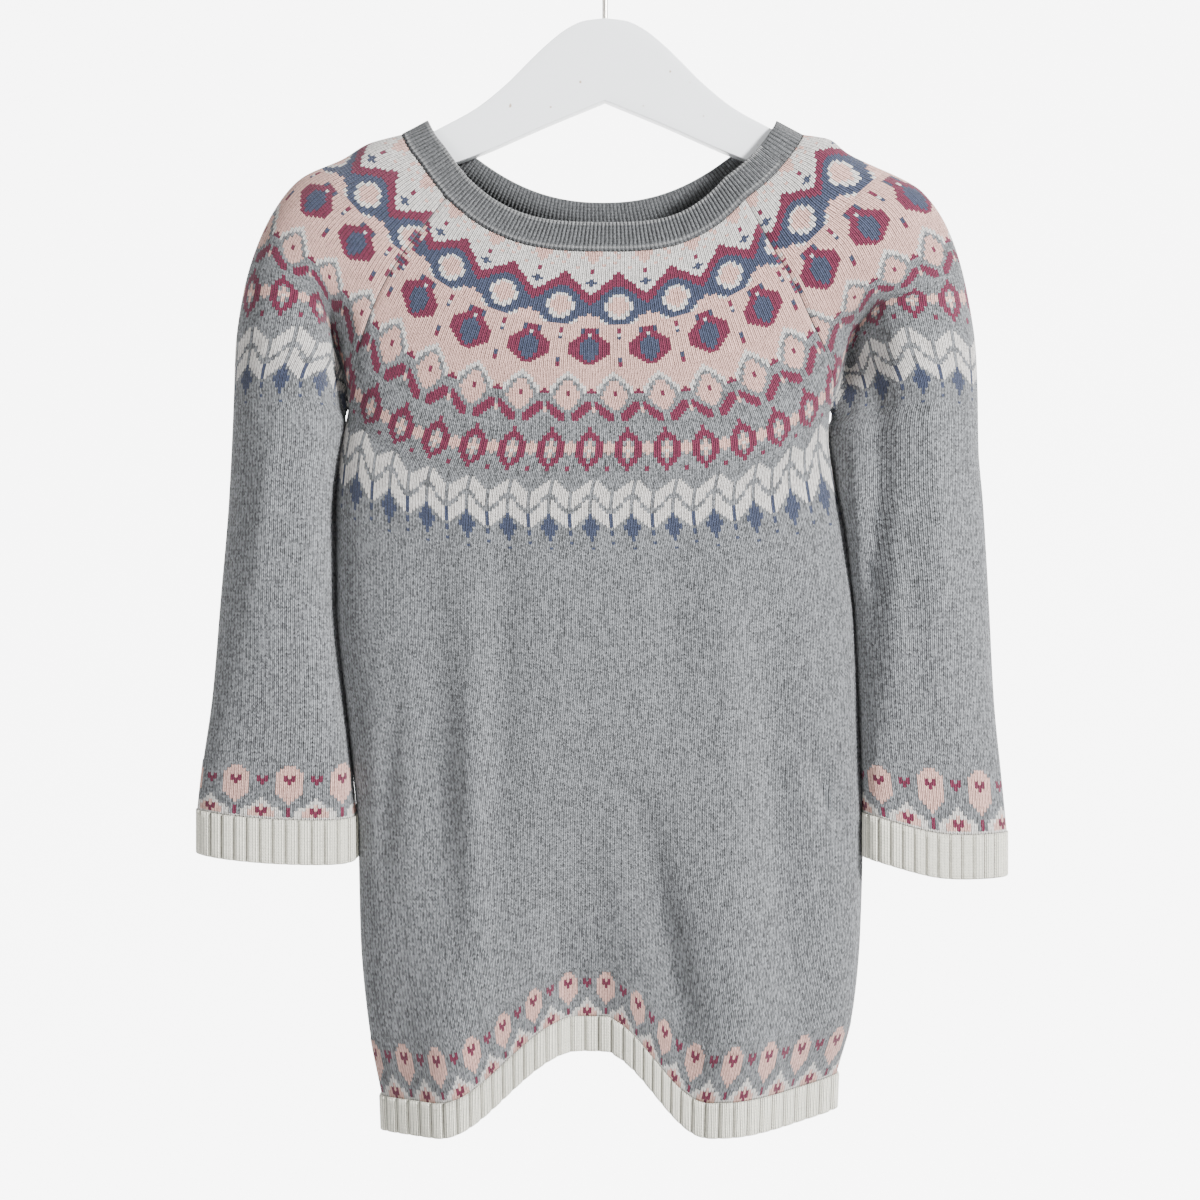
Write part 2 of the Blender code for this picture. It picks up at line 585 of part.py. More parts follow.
def make_sleeve(name, left_side, skin):
    """Sleeve: open beside the raglan seams, a closed tube below them. It gives what make_body gives."""
    raglan_courses = [c for c in BODY_COURSES if c < UNDERARM_COURSE]
    courses = [sleeve_course_of(c) for c in raglan_courses]
    upper = len(courses)
    courses += [SLEEVE_UNDERARM_COURSE, *SLEEVE_LOWER_COURSES]
    grid = np.array([sleeve_row(course, left_side) for course in courses])
    inward = grid_inward(grid, False)
    ring = grid[upper:, :-1]
    turned = grid_inward(ring, True)
    inward[upper:, :-1] = turned
    inward[upper:, -1] = turned[:, 0]
    if left_side:
        inward = -inward
    shift = np.zeros_like(grid)
    for column, front in ((0, True), (-1, False)):
        ins = np.array([neck_inward(grid[0, column])] + [raglan_inward(c, front) for c in raglan_courses[1:]])
        line = grid[: upper + 1, column]
        full = np.vstack([ins, raglan_inward(UNDERARM_COURSE, front)])
        across = seam_frame(line, full)
        toward = grid[: upper + 1, 1 if column == 0 else -2] - line
        side = np.sign((across * toward).sum(axis=1))[:, None]
        shift[:upper, column] = (across * side * SEAM_GAP / 2)[:upper]
        inward[:upper, column] = ins
    away = np.array([-1.0 if left_side else 1.0, 0, 0])
    shift[upper, 0] = shift[upper, -1] = away * SEAM_GAP
    inward[upper, 0] = inward[upper, -1] = unit(np.array([0, 0, 1.0]))
    inward[0] = [neck_inward(p) for p in grid[0]]
    inward[: upper + 1] = softened(inward[: upper + 1])
    shift[0] += unit(grid[1] - grid[0]) * SEAM_GAP / 2
    outer = grid + shift
    outer[upper:, -1] = outer[upper:, 0]
    shell(name, outer, outer + inward * WALL, upper, skin)
    return outer, inward


def remove_everything():
    for item in list(bpy.data.objects):
        bpy.data.objects.remove(item, do_unlink=True)


def ribbed(name, top, bottom, inward, size, closed, material):
    """Ribbed wall between two lines: raised columns outside, plain inside."""
    ribs, inner_step = size["ribs"], size["inner"]
    at = np.array([(rib + place) / ribs for rib in range(ribs) for place, _ in size["shape"]] + [1.0])
    lift = np.array([height for _, height in size["shape"]] * ribs + [0.0])
    at = even_places(bottom, at)
    rows = []
    for r in range(RIB_ROWS + 1):
        share = r / RIB_ROWS
        rows.append(read_line(top * (1 - share) + bottom * share, at))
    ins = unit(read_line(inward, at))
    mesh = bmesh.new()
    count = len(at) - 1 if closed else len(at)
    inner_at = list(range(0, len(at), inner_step))
    out, inside = [], []
    for line in rows:
        raised = line - ins * (lift * size["raise"])[:, None]
        verts = [mesh.verts.new(p * MM) for p in raised[:count]]
        out.append(verts + verts[:1] if closed else verts)
        under = line + ins * size["wall"]
        picked = inner_at[:-1] if closed else inner_at
        made = [mesh.verts.new(under[i] * MM) for i in picked]
        inside.append(made + made[:1] if closed else made)
    for r in range(RIB_ROWS):
        for c in range(len(out[r]) - 1):
            mesh.faces.new((out[r][c], out[r + 1][c], out[r + 1][c + 1], out[r][c + 1]))
        for c in range(len(inside[r]) - 1):
            mesh.faces.new((inside[r][c], inside[r][c + 1], inside[r + 1][c + 1], inside[r + 1][c]))
        if not closed:
            mesh.faces.new((out[r][0], inside[r][0], inside[r + 1][0], out[r + 1][0]))
            mesh.faces.new((out[r][-1], out[r + 1][-1], inside[r + 1][-1], inside[r][-1]))
    for r in (0, RIB_ROWS):
        for c in range(len(inside[r]) - 1):
            start, end = c * inner_step, (c + 1) * inner_step
            rim_fan(mesh, out[r][start : end + 1], inside[r][c], inside[r][c + 1])
    return finish_mesh(name, mesh, material)


def rim_fan(mesh, edge, first, last):
    """Close the rim between a fine edge and one plain edge, split at the fine edge's middle."""
    middle = len(edge) // 2
    for i in range(middle):
        mesh.faces.new((edge[i], edge[i + 1], first))
    mesh.faces.new((edge[middle], last, first))
    for i in range(middle, len(edge) - 1):
        mesh.faces.new((edge[i], edge[i + 1], last))


def even_places(line, shares):
    """Turn shares of a line's length into shares of its count of points."""
    run = np.concatenate([[0], np.cumsum(np.linalg.norm(np.diff(line, axis=0), axis=1))])
    return np.interp(np.asarray(shares) * run[-1], run, np.linspace(0, 1, len(line)))


def read_line(points, at):
    """Points at shares of a line's own count of points, straight between them."""
    run = np.linspace(0, 1, len(points))
    return np.stack([np.interp(at, run, points[:, i]) for i in range(3)], axis=1)


def lower_edge(name, outer, inward, size, pull, closed, yarn):
    """Ribbed edge hung straight down from a panel's last row."""
    top = outer[-1] + np.array([0, 0, -RIB_GAP])
    bottom = outer[-1] * np.array([pull, 1, 1]) + np.array([0, 0, -size["drop"]])
    return ribbed(name, top, bottom, inward[-1], size, closed, yarn)


def make_neckband(front, sleeve_right, back, sleeve_left, material):
    """The band's lower edge is the neck seam: front, right sleeve, back and left sleeve in turn."""
    loop = np.vstack([front, sleeve_right, back[::-1], sleeve_left[::-1]])
    ins = np.array([neck_inward(p) for p in loop])
    along = np.roll(loop, -2, axis=0) - np.roll(loop, 2, axis=0)
    up = unit(np.cross(unit(along), -ins))
    up = np.where(up[:, 2:3] < 0, -up, up)
    lower = loop + up * RIB_GAP
    upper = loop + up * NECKBAND["height"]
    lower = np.vstack([lower, lower[:1]])
    upper = np.vstack([upper, upper[:1]])
    ins = np.vstack([ins, ins[:1]])
    return ribbed("neckband", upper, lower, ins, NECKBAND, True, material)


def board_outline():
    """The board's outline seen from the front, anticlockwise from the top of the hook's hole."""
    left = [(-x, z) for x, z in BOARD_TOP_EDGE[1:]] + [(-x, z) for x, z in BOARD_ARM_LEFT]
    left += [(-x, z) for x, z in BOARD_LOWER_EDGE[:-1]]
    right = [(x, z) for x, z in BOARD_TOP_EDGE[1:]] + list(BOARD_ARM_RIGHT) + list(BOARD_LOWER_EDGE[:-1])
    return [BOARD_TOP_EDGE[0]] + left + [BOARD_LOWER_EDGE[-1]] + right[::-1]


def make_board(paint):
    mesh = bmesh.new()
    half = BOARD_THICK / 2
    line = [mesh.verts.new((x * MM, -half * MM, z * MM)) for x, z in board_outline()]
    face = mesh.faces.new(line)
    pushed = bmesh.ops.extrude_face_region(mesh, geom=[face])["geom"]
    moved = [v for v in pushed if isinstance(v, bmesh.types.BMVert)]
    bmesh.ops.translate(mesh, verts=moved, vec=(0, BOARD_THICK * MM, 0))
    bmesh.ops.recalc_face_normals(mesh, faces=mesh.faces[:])
    rims = [e for e in mesh.edges if abs(e.verts[0].co.y - e.verts[1].co.y) < MM * 0.01]
    bmesh.ops.bevel(
        mesh, geom=rims, offset=BOARD_ROUND * MM, segments=2, profile=0.5, affect="EDGES", clamp_overlap=True
    )
    board = finish_mesh("hanger_board", mesh, paint)
    cutter_mesh = bmesh.new()
    depth = WIRE_DEPTH + HOLE_PROUD
    radius = (WIRE_RADIUS + SEAM_GAP) * MM
    bmesh.ops.create_cone(
        cutter_mesh, cap_ends=True, segments=HOLE_SIDES, radius1=radius, radius2=radius, depth=depth * MM
    )
    centre = HANGER_TOP - WIRE_DEPTH - SEAM_GAP + depth / 2
    bmesh.ops.translate(cutter_mesh, verts=cutter_mesh.verts[:], vec=(0, 0, centre * MM))
    data = bpy.data.meshes.new("hook_hole")
    cutter_mesh.to_mesh(data)
    cutter_mesh.free()
    cutter = bpy.data.objects.new("hook_hole", data)
    bpy.context.scene.collection.objects.link(cutter)
    cutter.hide_render = True
    cutter.display_type = "WIRE"
    hole = board.modifiers.new("hook_hole", "BOOLEAN")
    hole.operation = "DIFFERENCE"
    hole.object = cutter
    return board


def hook_path():
    """The hook's centre line: up from the board, a short bend aside, then most of a ring, tip at the left."""
    lean, bend = HOOK_LEAN, HOOK_BEND
    ring_z = -(HOOK_RADIUS - WIRE_RADIUS)
    start = -lean
    ring_start = (HOOK_RADIUS * math.cos(start), ring_z + HOOK_RADIUS * math.sin(start))
    bend_end_x = bend * (1 - math.cos(lean))
    straight = (ring_start[0] - bend_end_x) / math.sin(lean)
    bend_z = ring_start[1] - bend * math.sin(lean) - straight * math.cos(lean)
    path = [(0.0, HANGER_TOP - WIRE_DEPTH), (0.0, (HANGER_TOP + bend_z) / 2)]
    for i in range(BEND_STEPS + 1):
        turn = lean * i / BEND_STEPS
        path.append((bend * (1 - math.cos(turn)), bend_z + bend * math.sin(turn)))
    for i in range(RING_STEPS + 1):
        turn = start + (HOOK_END - start) * i / RING_STEPS
        path.append((HOOK_RADIUS * math.cos(turn), ring_z + HOOK_RADIUS * math.sin(turn)))
    return path


def make_hook(wire):
    curve = bpy.data.curves.new("hanger_hook", "CURVE")
    curve.dimensions = "3D"
    curve.bevel_depth = WIRE_RADIUS * MM
    curve.bevel_resolution = 2
    curve.use_fill_caps = True
    path = hook_path()
    spline = curve.splines.new("POLY")
    spline.points.add(len(path) - 1)
    for point, (x, z) in zip(spline.points, path):
        point.co = (x * MM, 0, z * MM, 1)
    curve.materials.append(wire)
    made = bpy.data.objects.new("hanger_hook", curve)
    bpy.context.scene.collection.objects.link(made)
    return made


def main():
    remove_everything()
    front_yarn = material("grey_front", COLOURS["front"], 0.9)
    back_yarn = material("grey_back", COLOURS["back"], 0.9)
    sleeve_yarn = material("grey_sleeve", COLOURS["sleeve"], 0.9)
    band_yarn = material("grey_rib", COLOURS["neckband"], 0.9)
    cream_yarn = material("cream_rib", COLOURS["cream"], 0.9)
    front_outer, front_in = make_body("front", True, front_yarn)
    back_outer, back_in = make_body("back", False, back_yarn)
    left_outer, left_in = make_sleeve("sleeve_left", True, sleeve_yarn)
    right_outer, right_in = make_sleeve("sleeve_right", False, sleeve_yarn)
    lower_edge("hem_rib_front", front_outer, front_in, HEM_RIB, HEM_PULL, False, cream_yarn)
    lower_edge("hem_rib_back", back_outer, back_in, HEM_RIB, HEM_PULL, False, cream_yarn)
    lower_edge("cuff_left", left_outer, left_in, CUFF_RIB, 1, True, cream_yarn)
    lower_edge("cuff_right", right_outer, right_in, CUFF_RIB, 1, True, cream_yarn)
    make_neckband(front_outer[0], right_outer[0], back_outer[0], left_outer[0], band_yarn)
    make_board(material("painted_board", COLOURS["board"], 0.35))
    make_hook(material("hook_wire", COLOURS["wire"], 0.3, 1.0))


main()
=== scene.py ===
import math
from functools import partial
import bmesh
import bpy
import numpy as np
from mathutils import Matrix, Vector


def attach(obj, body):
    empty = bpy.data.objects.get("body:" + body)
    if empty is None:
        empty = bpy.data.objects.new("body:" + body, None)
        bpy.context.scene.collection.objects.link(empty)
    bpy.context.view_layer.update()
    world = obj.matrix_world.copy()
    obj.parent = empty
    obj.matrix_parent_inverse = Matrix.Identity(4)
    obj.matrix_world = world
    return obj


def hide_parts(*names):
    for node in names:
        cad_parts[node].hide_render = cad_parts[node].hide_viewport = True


# Child's knitted dress with a round patterned yoke, hung on a flat wooden hanger.
# Tables are in millimetres, in the frame of the solids: the hook's inside top is 0, 0, 0, the front faces -Y.
# A course is one knitted row, counted down from the neck seam; a wale is one column of stitches.

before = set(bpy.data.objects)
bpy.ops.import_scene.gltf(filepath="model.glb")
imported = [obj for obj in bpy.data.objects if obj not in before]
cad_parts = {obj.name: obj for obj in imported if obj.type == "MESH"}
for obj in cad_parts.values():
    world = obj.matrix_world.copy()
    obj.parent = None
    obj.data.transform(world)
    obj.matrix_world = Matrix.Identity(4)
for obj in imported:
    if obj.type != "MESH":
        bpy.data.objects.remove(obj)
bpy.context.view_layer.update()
mm = 0.001

# Raglan seams, by course of the body: where the front or back panel meets the sleeve.
# Columns: course, x, y, z.
raglanFrontLeft = (
    (0, -92, -17, -176),
    (20, -109, -21, -199),
    (36, -123, -23, -219),
    (54, -136, -22, -245),
    (66, -144, -16, -268),
    (74, -148.5, -7, -284),
    (86, -151, 4, -300),
)

raglanFrontRight = (
    (0, 81, -18, -177),
    (20, 95, -22, -203),
    (36, 109, -24, -227),
    (54, 121, -22, -252),
    (66, 130, -15, -269),
    (74, 134, -6, -283),
    (86, 132, 5, -300),
)

raglanBackLeft = (
    (0, -88, 12, -161),
    (20, -107, 15, -188),
    (36, -120, 18, -210),
    (54, -134, 20, -238),
    (66, -142, 18, -263),
    (74, -147, 14, -279),
    (86, -151, 4, -300),
)

raglanBackRight = (
    (0, 85, 12, -161),
    (20, 101, 15, -188),
    (36, 113, 18, -210),
    (54, 122, 20, -238),
    (66, 129, 18, -263),
    (74, 133, 14, -279),
    (86, 132, 5, -300),
)

# Side seams below the underarm, by course of the body.
# Columns: course, left x, left z, right x, right z, y.
sideSeams = (
    (86, -151, -300, 132, -300, 4.5),
    (92, -153.5, -312, 131, -313, 4.5),
    (104, -157, -341, 136, -347, 4),
    (112, -158, -359, 140, -365, 4),
    (140, -158, -412, 146, -414, 4),
    (175, -152, -474, 149, -476, 4),
    (210, -145, -545, 151.5, -540, 4),
    (240, -143.5, -606, 150, -602, 3),
    (262, -139, -656, 146, -647, 2),
    (280, -131, -698, 136, -685, 1),
)

# Rows of the front panel. mid_z and mid_y are at the panel's middle, the powers say how late the row
# climbs to its left and right end, round says how square the panel's edge is, and rise is how far the
# hem is drawn up at the middle.
# Columns: course, mid_x, mid_z, mid_y, left power, right power, round, rise.
frontRows = (
    (0, 1, -208, -22, 3.0, 3.0, 1.0, 0),
    (20, 1, -238, -26, 2.3, 2.1, 1.0, 0),
    (36, 1, -264, -29, 3.0, 2.3, 1.0, 0),
    (54, 1, -289, -31, 3.5, 3.3, 0.9, 0),
    (74, -2, -321, -33, 4.2, 4.0, 0.7, 0),
    (92, -6, -350, -34, 3.6, 3.4, 0.5, 0),
    (104, -6, -369, -35, 3.3, 3.0, 0.5, 0),
    (112, -6, -382, -35, 3.2, 3.0, 0.5, 0),
    (140, -6, -428, -36, 3.0, 3.0, 0.5, 0),
    (175, -2, -486, -36, 3.0, 3.0, 0.5, 3),
    (210, 1, -548, -34, 3.0, 3.0, 0.5, 12),
    (240, 2, -606, -31, 3.0, 3.0, 0.5, 27),
    (262, 3, -656, -27, 3.0, 3.0, 0.5, 40),
    (280, 3, -699, -23, 3.0, 3.0, 0.5, 49),
)

# Rows of the back panel.
# Columns: course, mid_x, mid_z, mid_y, power, round.
backRows = (
    (0, -1, -192, 15, 2.2, 1.0),
    (20, -1, -226, 19, 2.2, 1.0),
    (36, -1, -255, 22, 2.4, 1.0),
    (54, -2, -284, 25, 2.8, 0.9),
    (74, -3, -317, 27, 3.2, 0.7),
    (92, -6, -347, 28, 3.2, 0.5),
    (112, -6, -379, 29, 3.0, 0.5),
    (140, -6, -425, 30, 2.6, 0.5),
    (175, -2, -482, 30, 2.3, 0.5),
    (210, 1, -537, 29, 2.0, 0.5),
    (240, 2, -585, 27, 1.8, 0.5),
    (262, 3, -620, 25, 1.7, 0.5),
    (280, 3, -646, 23, 1.7, 0.5),
)

# Largest folds of the front and back: a soft ridge (negative depth comes forward on the front) along a
# line from top to bottom, growing from nothing at the top to its full depth at the bottom.
# Columns: top_x, top_z, bottom_x, bottom_z, width, depth.
frontFolds = (
    (-78, -400, -88, -700, 34, -13),
    (62, -440, 78, -700, 34, -12),
    (-8, -470, -12, -680, 30, 9),
    (118, -470, 118, -700, 18, 4),
)

backFolds = (
    (-60, -420, -78, -690, 32, 9),
    (50, -380, 64, -680, 30, 8),
    (0, -450, -6, -660, 28, -6),
)

# Rows of a sleeve, by its own course. A row runs from the front raglan seam into the valley beside the
# body, out to the fold at the front, over the face and brow to the outer edge, and round the back.
# Columns: course, then (x, y, z) of the valley, fold, face, brow, edge, shoulder, rear and inner.
sleeveLeftRows = (
    (0, (-100, -16, -166), (-107, -14.5, -156), (-113, -12.5, -148), (-117, -9, -140.5),
     (-118.5, 0, -137), (-117, 9.5, -140), (-110, 12, -148), (-100, 12, -154.5)),
    (10, (-110, -19.5, -179), (-118, -18, -168.5), (-126, -16, -158), (-134, -11, -147.5),
     (-138, 0, -142.3), (-134, 11, -147.5), (-124, 14, -158), (-111, 14.5, -166.5)),
    (20, (-119, -22, -191), (-129, -21, -180), (-138, -19, -169), (-148, -12, -157),
     (-152.5, 0, -151), (-148, 11, -156), (-136, 15, -168), (-122, 16, -178)),
    (36, (-132, -24, -212), (-142, -24, -203), (-156, -22, -189), (-171, -14, -171),
     (-178, 0, -163), (-172, 13, -170), (-156, 18, -186), (-138, 19, -199)),
    (54, (-147, -22, -234), (-158, -24, -222), (-174, -24, -208), (-191, -15, -196),
     (-198, 0, -190), (-191, 14, -196), (-174, 20, -208), (-154, 21, -225)),
    (74, (-156, -2, -260), (-167, -21, -237), (-186, -25, -231), (-204, -15, -229),
     (-211, 0, -228), (-204, 15, -229), (-185, 21, -232), (-161, 20, -248)),
    (92, (-153, 4, -279), (-165, -20, -263), (-187, -25, -262), (-207, -15, -262),
     (-216, 0, -262), (-207, 16, -262), (-187, 22, -264), (-162, 19, -272)),
    (108, (-154.5, -6, -296), (-165, -21, -291), (-187, -25, -290), (-208, -15, -290),
     (-217, 0, -290), (-208, 16, -290), (-188, 22, -292), (-163, 18, -297)),
    (143, (-160.5, -6, -353), (-167, -21, -352), (-190, -25, -351), (-210, -15, -351),
     (-220, 0, -351), (-211, 16, -351), (-190, 22, -352), (-167, 20, -353)),
    (176, (-160.5, -6, -410), (-167, -20, -410), (-194, -24, -410), (-215, -14, -410),
     (-225, 0, -410), (-216, 15, -410), (-194, 21, -410), (-168, 19, -410)),
    (209, (-155, -5, -467), (-162, -18, -468), (-193, -22, -468), (-219, -13, -467),
     (-230, 0, -467), (-220, 13, -467), (-193, 19, -467), (-164, 17, -467)),
    (232, (-151, -5, -508), (-158, -15, -510), (-192, -18, -510), (-225, -11, -509),
     (-236, 0, -508), (-226, 11, -508), (-193, 15, -508), (-160, 14, -508)),
    (246, (-150, -4, -535), (-157, -13, -536.5), (-192, -16, -536), (-227, -10, -533),
     (-238.5, 0, -531), (-228, 9, -531), (-193, 12, -531), (-160, 12, -532)),
)

sleeveRightRows = (
    (0, (92, -16, -168), (101, -14.5, -159), (108, -12.5, -150), (113.5, -9, -141.5),
     (115.5, 0, -137), (114, 9.5, -140), (107, 12, -148), (97, 12, -154.5)),
    (10, (98, -19.5, -182), (107.5, -18, -171.5), (117, -16, -160), (126, -11, -146.5),
     (130.5, 0, -139.6), (127, 11, -145.5), (118, 14, -157.5), (106, 14.5, -167)),
    (20, (104, -22, -195), (114, -21, -184), (126, -19, -170), (136, -12, -156),
     (142, 0, -148), (138, 11, -154), (127, 15, -168), (115, 16, -179)),
    (36, (119, -24, -221), (131, -24, -211), (150, -22, -194), (174, -14, -177),
     (185.5, 0, -170.5), (175, 13, -176), (156, 18, -189), (134, 19, -203)),
    (54, (131, -22, -247), (146, -24, -231), (163, -24, -219), (190, -15, -204),
     (202.5, 0, -197), (191, 14, -203), (170, 20, -215), (144, 21, -230)),
    (74, (145, -1, -254), (163, -21, -237), (186, -25, -235), (204, -15, -233),
     (212, 0, -231), (204, 15, -233), (186, 21, -236), (152, 20, -255)),
    (92, (144, 6, -273), (165, -20, -263), (188, -25, -263), (209, -15, -265),
     (217, 0, -266), (209, 16, -266), (188, 22, -268), (154, 20, -276)),
    (108, (141, -2, -297), (166.5, -21, -292), (190, -25, -290), (209, -15, -291),
     (218, 0, -292), (210, 16, -293), (188, 22, -295), (154, 20, -299)),
    (125, (151, -4, -323), (166, -21, -320), (190, -25, -320), (210, -15, -320),
     (218.5, 0, -321), (211, 16, -322), (188, 22, -323), (160, 21, -325)),
    (143, (157, -5, -354), (164, -21, -352), (190, -25, -351), (210, -15, -351),
     (221, 0, -351), (212, 16, -351), (190, 22, -353), (163, 20, -354)),
    (176, (153.5, -5, -410), (161.5, -20, -410), (191, -24, -410), (214, -14, -410),
     (224.5, 0, -410), (215, 15, -410), (191, 21, -410), (161, 19, -410)),
    (209, (151.5, -5, -467), (159.5, -18, -468), (191, -22, -469), (216, -13, -468),
     (227.5, 0, -468), (217, 13, -468), (191, 19, -468), (161, 17, -467)),
    (232, (153, -5, -508), (159, -15, -510), (192, -18, -512), (221, -11, -514),
     (232, 0, -514), (222, 11, -513), (192, 15, -511), (161, 14, -508)),
    (246, (154, -4, -533), (160, -13, -535), (192, -16, -544), (224, -10, -545),
     (235, 0, -544), (225, 9, -542), (192, 12, -539), (162, 12, -534)),
)

# Underarm line of each sleeve, where its rows start and end below the body.
# Columns: course, x, y, z.
sleeveLeftUnderarm = (
    (108, -151, 4, -300),
    (111, -154, 6, -304),
    (116, -157, 7.5, -312),
    (125, -160, 8, -327),
    (143, -161, 8, -353),
    (176, -161, 8, -410),
    (209, -155.5, 8, -467),
    (232, -151.5, 6, -508),
    (246, -150, 4, -532),
)

sleeveRightUnderarm = (
    (108, 132, 5, -300),
    (116, 140, 9, -308),
    (125, 147.5, 11, -325),
    (143, 156.5, 10, -355),
    (176, 153.5, 8, -410),
    (209, 151.5, 8, -467),
    (232, 153, 6, -508),
    (246, 154, 4, -533),
)

cloth = {
    "wall": 1.8,
    "seamDip": 0.9,
    "seamWidth": 1.6,
    "wale": 2.08,  # width of a stitch
    "stitchDip": 0.42,  # how far a stitch's middle hangs below its sides, in courses
    "plainStep": 3,  # courses to a row of faces where the cloth has no chart
    "insideWales": 100,  # stitch places across the plain inside
    "underarm": 86,
    "hem": 280,
    "hemRiseLeft": (-99, -15),  # x where the hem's rise starts and where it is full
    "hemRiseRight": (60, -2),
    "sleeveUnderarm": 108,
    "sleeveAtBody": 114,  # from this course down a sleeve's inner side lies against the body
    "sleeveGap": -1.0,  # between the two before the seams sink in; below 0 they press together
    "sleeveBulge": 1.5,  # power of the bulge that brings them together
    "cuff": 246,
    "sameCourses": 74,  # down to here a sleeve's course meets the body's course of the same number
    "openCourse": 10**6,  # a body panel's courses never close on themselves
    "fineSteps": 150,
    "controlSteps": 14,
    "outerEdge": 5,  # control point of a sleeve row on its outer edge
    "foldPast": 1.15,  # a fold runs on this far past its lower end
    "foldFade": 0.7,  # power of a fold's fade towards the panel's sides
    "creaseFade": 1.3,  # power of a crease's fade towards its ends
    "creaseTurn": 6,  # a crease fades over this depth where the cloth turns to the side
}


def between(keys, values, at):  # smooth curve through values at keys, with no overshoot
    keys = np.asarray(keys, float)
    values = np.asarray(values, float)
    flat = values.reshape(len(keys), -1)
    step = np.diff(keys)
    slope = np.diff(flat, axis=0) / step[:, None]
    tangent = np.zeros_like(flat)
    tangent[0] = slope[0]
    tangent[-1] = slope[-1]
    for i in range(1, len(keys) - 1):
        before, after = slope[i - 1], slope[i]
        sameWay = before * after > 0
        share = (2 * step[i] + step[i - 1]) / np.where(sameWay, before, 1)
        share = share + (step[i] + 2 * step[i - 1]) / np.where(sameWay, after, 1)
        tangent[i] = np.where(sameWay, 3 * (step[i - 1] + step[i]) / np.where(share == 0, 1, share), 0)
    at = np.clip(np.atleast_1d(np.asarray(at, float)), keys[0], keys[-1])
    cell = np.clip(np.searchsorted(keys, at, side="right") - 1, 0, len(keys) - 2)
    width = step[cell][:, None]
    t = ((at - keys[cell]) / step[cell])[:, None]
    out = (2 * t**3 - 3 * t**2 + 1) * flat[cell] + (t**3 - 2 * t**2 + t) * width * tangent[cell]
    out = out + (3 * t**2 - 2 * t**3) * flat[cell + 1] + (t**3 - t**2) * width * tangent[cell + 1]
    return out.reshape((len(at),) + values.shape[1:])


def rowAt(table, course):
    table = np.asarray(table, float)
    return between(table[:, 0], table[:, 1:], course)[0]


def unit(v):
    v = np.asarray(v, float)
    return v / np.maximum(np.linalg.norm(v, axis=-1, keepdims=True), 1e-9)


def runOf(points):
    return np.concatenate([[0], np.cumsum(np.linalg.norm(np.diff(points, axis=0), axis=1))])


def readLine(points, shares):  # points at shares of a line's length
    run = runOf(points)
    at = np.asarray(shares) * run[-1]
    return np.stack([np.interp(at, run, points[:, i]) for i in range(3)], axis=1)


def mixed(a, b, start, end, t):
    return (end - t) / (end - start) * a + (t - start) / (end - start) * b


def smoothLine(points, steps):  # centripetal spline; the first and last points only steer the ends
    knots = np.concatenate([[0], np.cumsum(np.linalg.norm(np.diff(points, axis=0), axis=1) ** 0.5)])
    out = []
    for i in range(1, len(points) - 2):
        at = knots[i - 1 : i + 3]
        t = np.linspace(at[1], at[2], steps, endpoint=False)[:, None]
        legs = [mixed(points[i - 1 + k], points[i + k], at[k], at[k + 1], t) for k in range(3)]
        halves = [mixed(legs[k], legs[k + 1], at[k], at[k + 2], t) for k in range(2)]
        out.append(mixed(*halves, at[1], at[2], t))
    out.append(points[-2][None])
    return np.vstack(out)


def ease(x, start, end):  # 0 at start, 1 at end, soft at both
    t = np.clip((np.asarray(x, float) - start) / (end - start), 0, 1)
    return 0.5 - 0.5 * np.cos(math.pi * t)


def bodyRow(course, front):  # a row of the front or back, from its left seam to its right seam
    if course <= cloth["underarm"]:
        left = rowAt(raglanFrontLeft if front else raglanBackLeft, course)
        right = rowAt(raglanFrontRight if front else raglanBackRight, course)
    else:
        leftX, leftZ, rightX, rightZ, y = rowAt(sideSeams, course)
        left, right = np.array([leftX, y, leftZ]), np.array([rightX, y, rightZ])
    if front:
        midX, midZ, midY, leftPower, rightPower, square, rise = rowAt(frontRows, course)
    else:
        midX, midZ, midY, leftPower, square = rowAt(backRows, course)
        rightPower, rise = leftPower, 0
    turn = np.linspace(-math.pi / 2, math.pi / 2, cloth["fineSteps"] + 1)
    side = np.sin(turn)
    points = np.zeros((len(turn), 3))
    for end, power, here in ((left, leftPower, side < 0), (right, rightPower, side >= 0)):
        reach = np.abs(side[here])
        points[here, 0] = midX + (end[0] - midX) * reach
        points[here, 2] = midZ + (end[2] - midZ) * reach**power
        points[here, 1] = end[1] + (midY - end[1]) * (1 - reach**3) ** square
    x = points[:, 0]
    points[:, 2] += rise * np.where(x < midX, ease(x, *cloth["hemRiseLeft"]), ease(x, *cloth["hemRiseRight"]))
    free = points.copy()
    for topX, topZ, bottomX, bottomZ, width, depth in frontFolds if front else backFolds:
        along = np.clip((topZ - points[:, 2]) / (topZ - bottomZ), 0, cloth["foldPast"])
        across = (points[:, 0] - topX - (bottomX - topX) * along) / width
        free[:, 1] += depth * ease(along, 0, 1) * np.exp(-across * across * 2)
    return points + (free - points) * (np.cos(turn)[:, None] ** cloth["foldFade"])


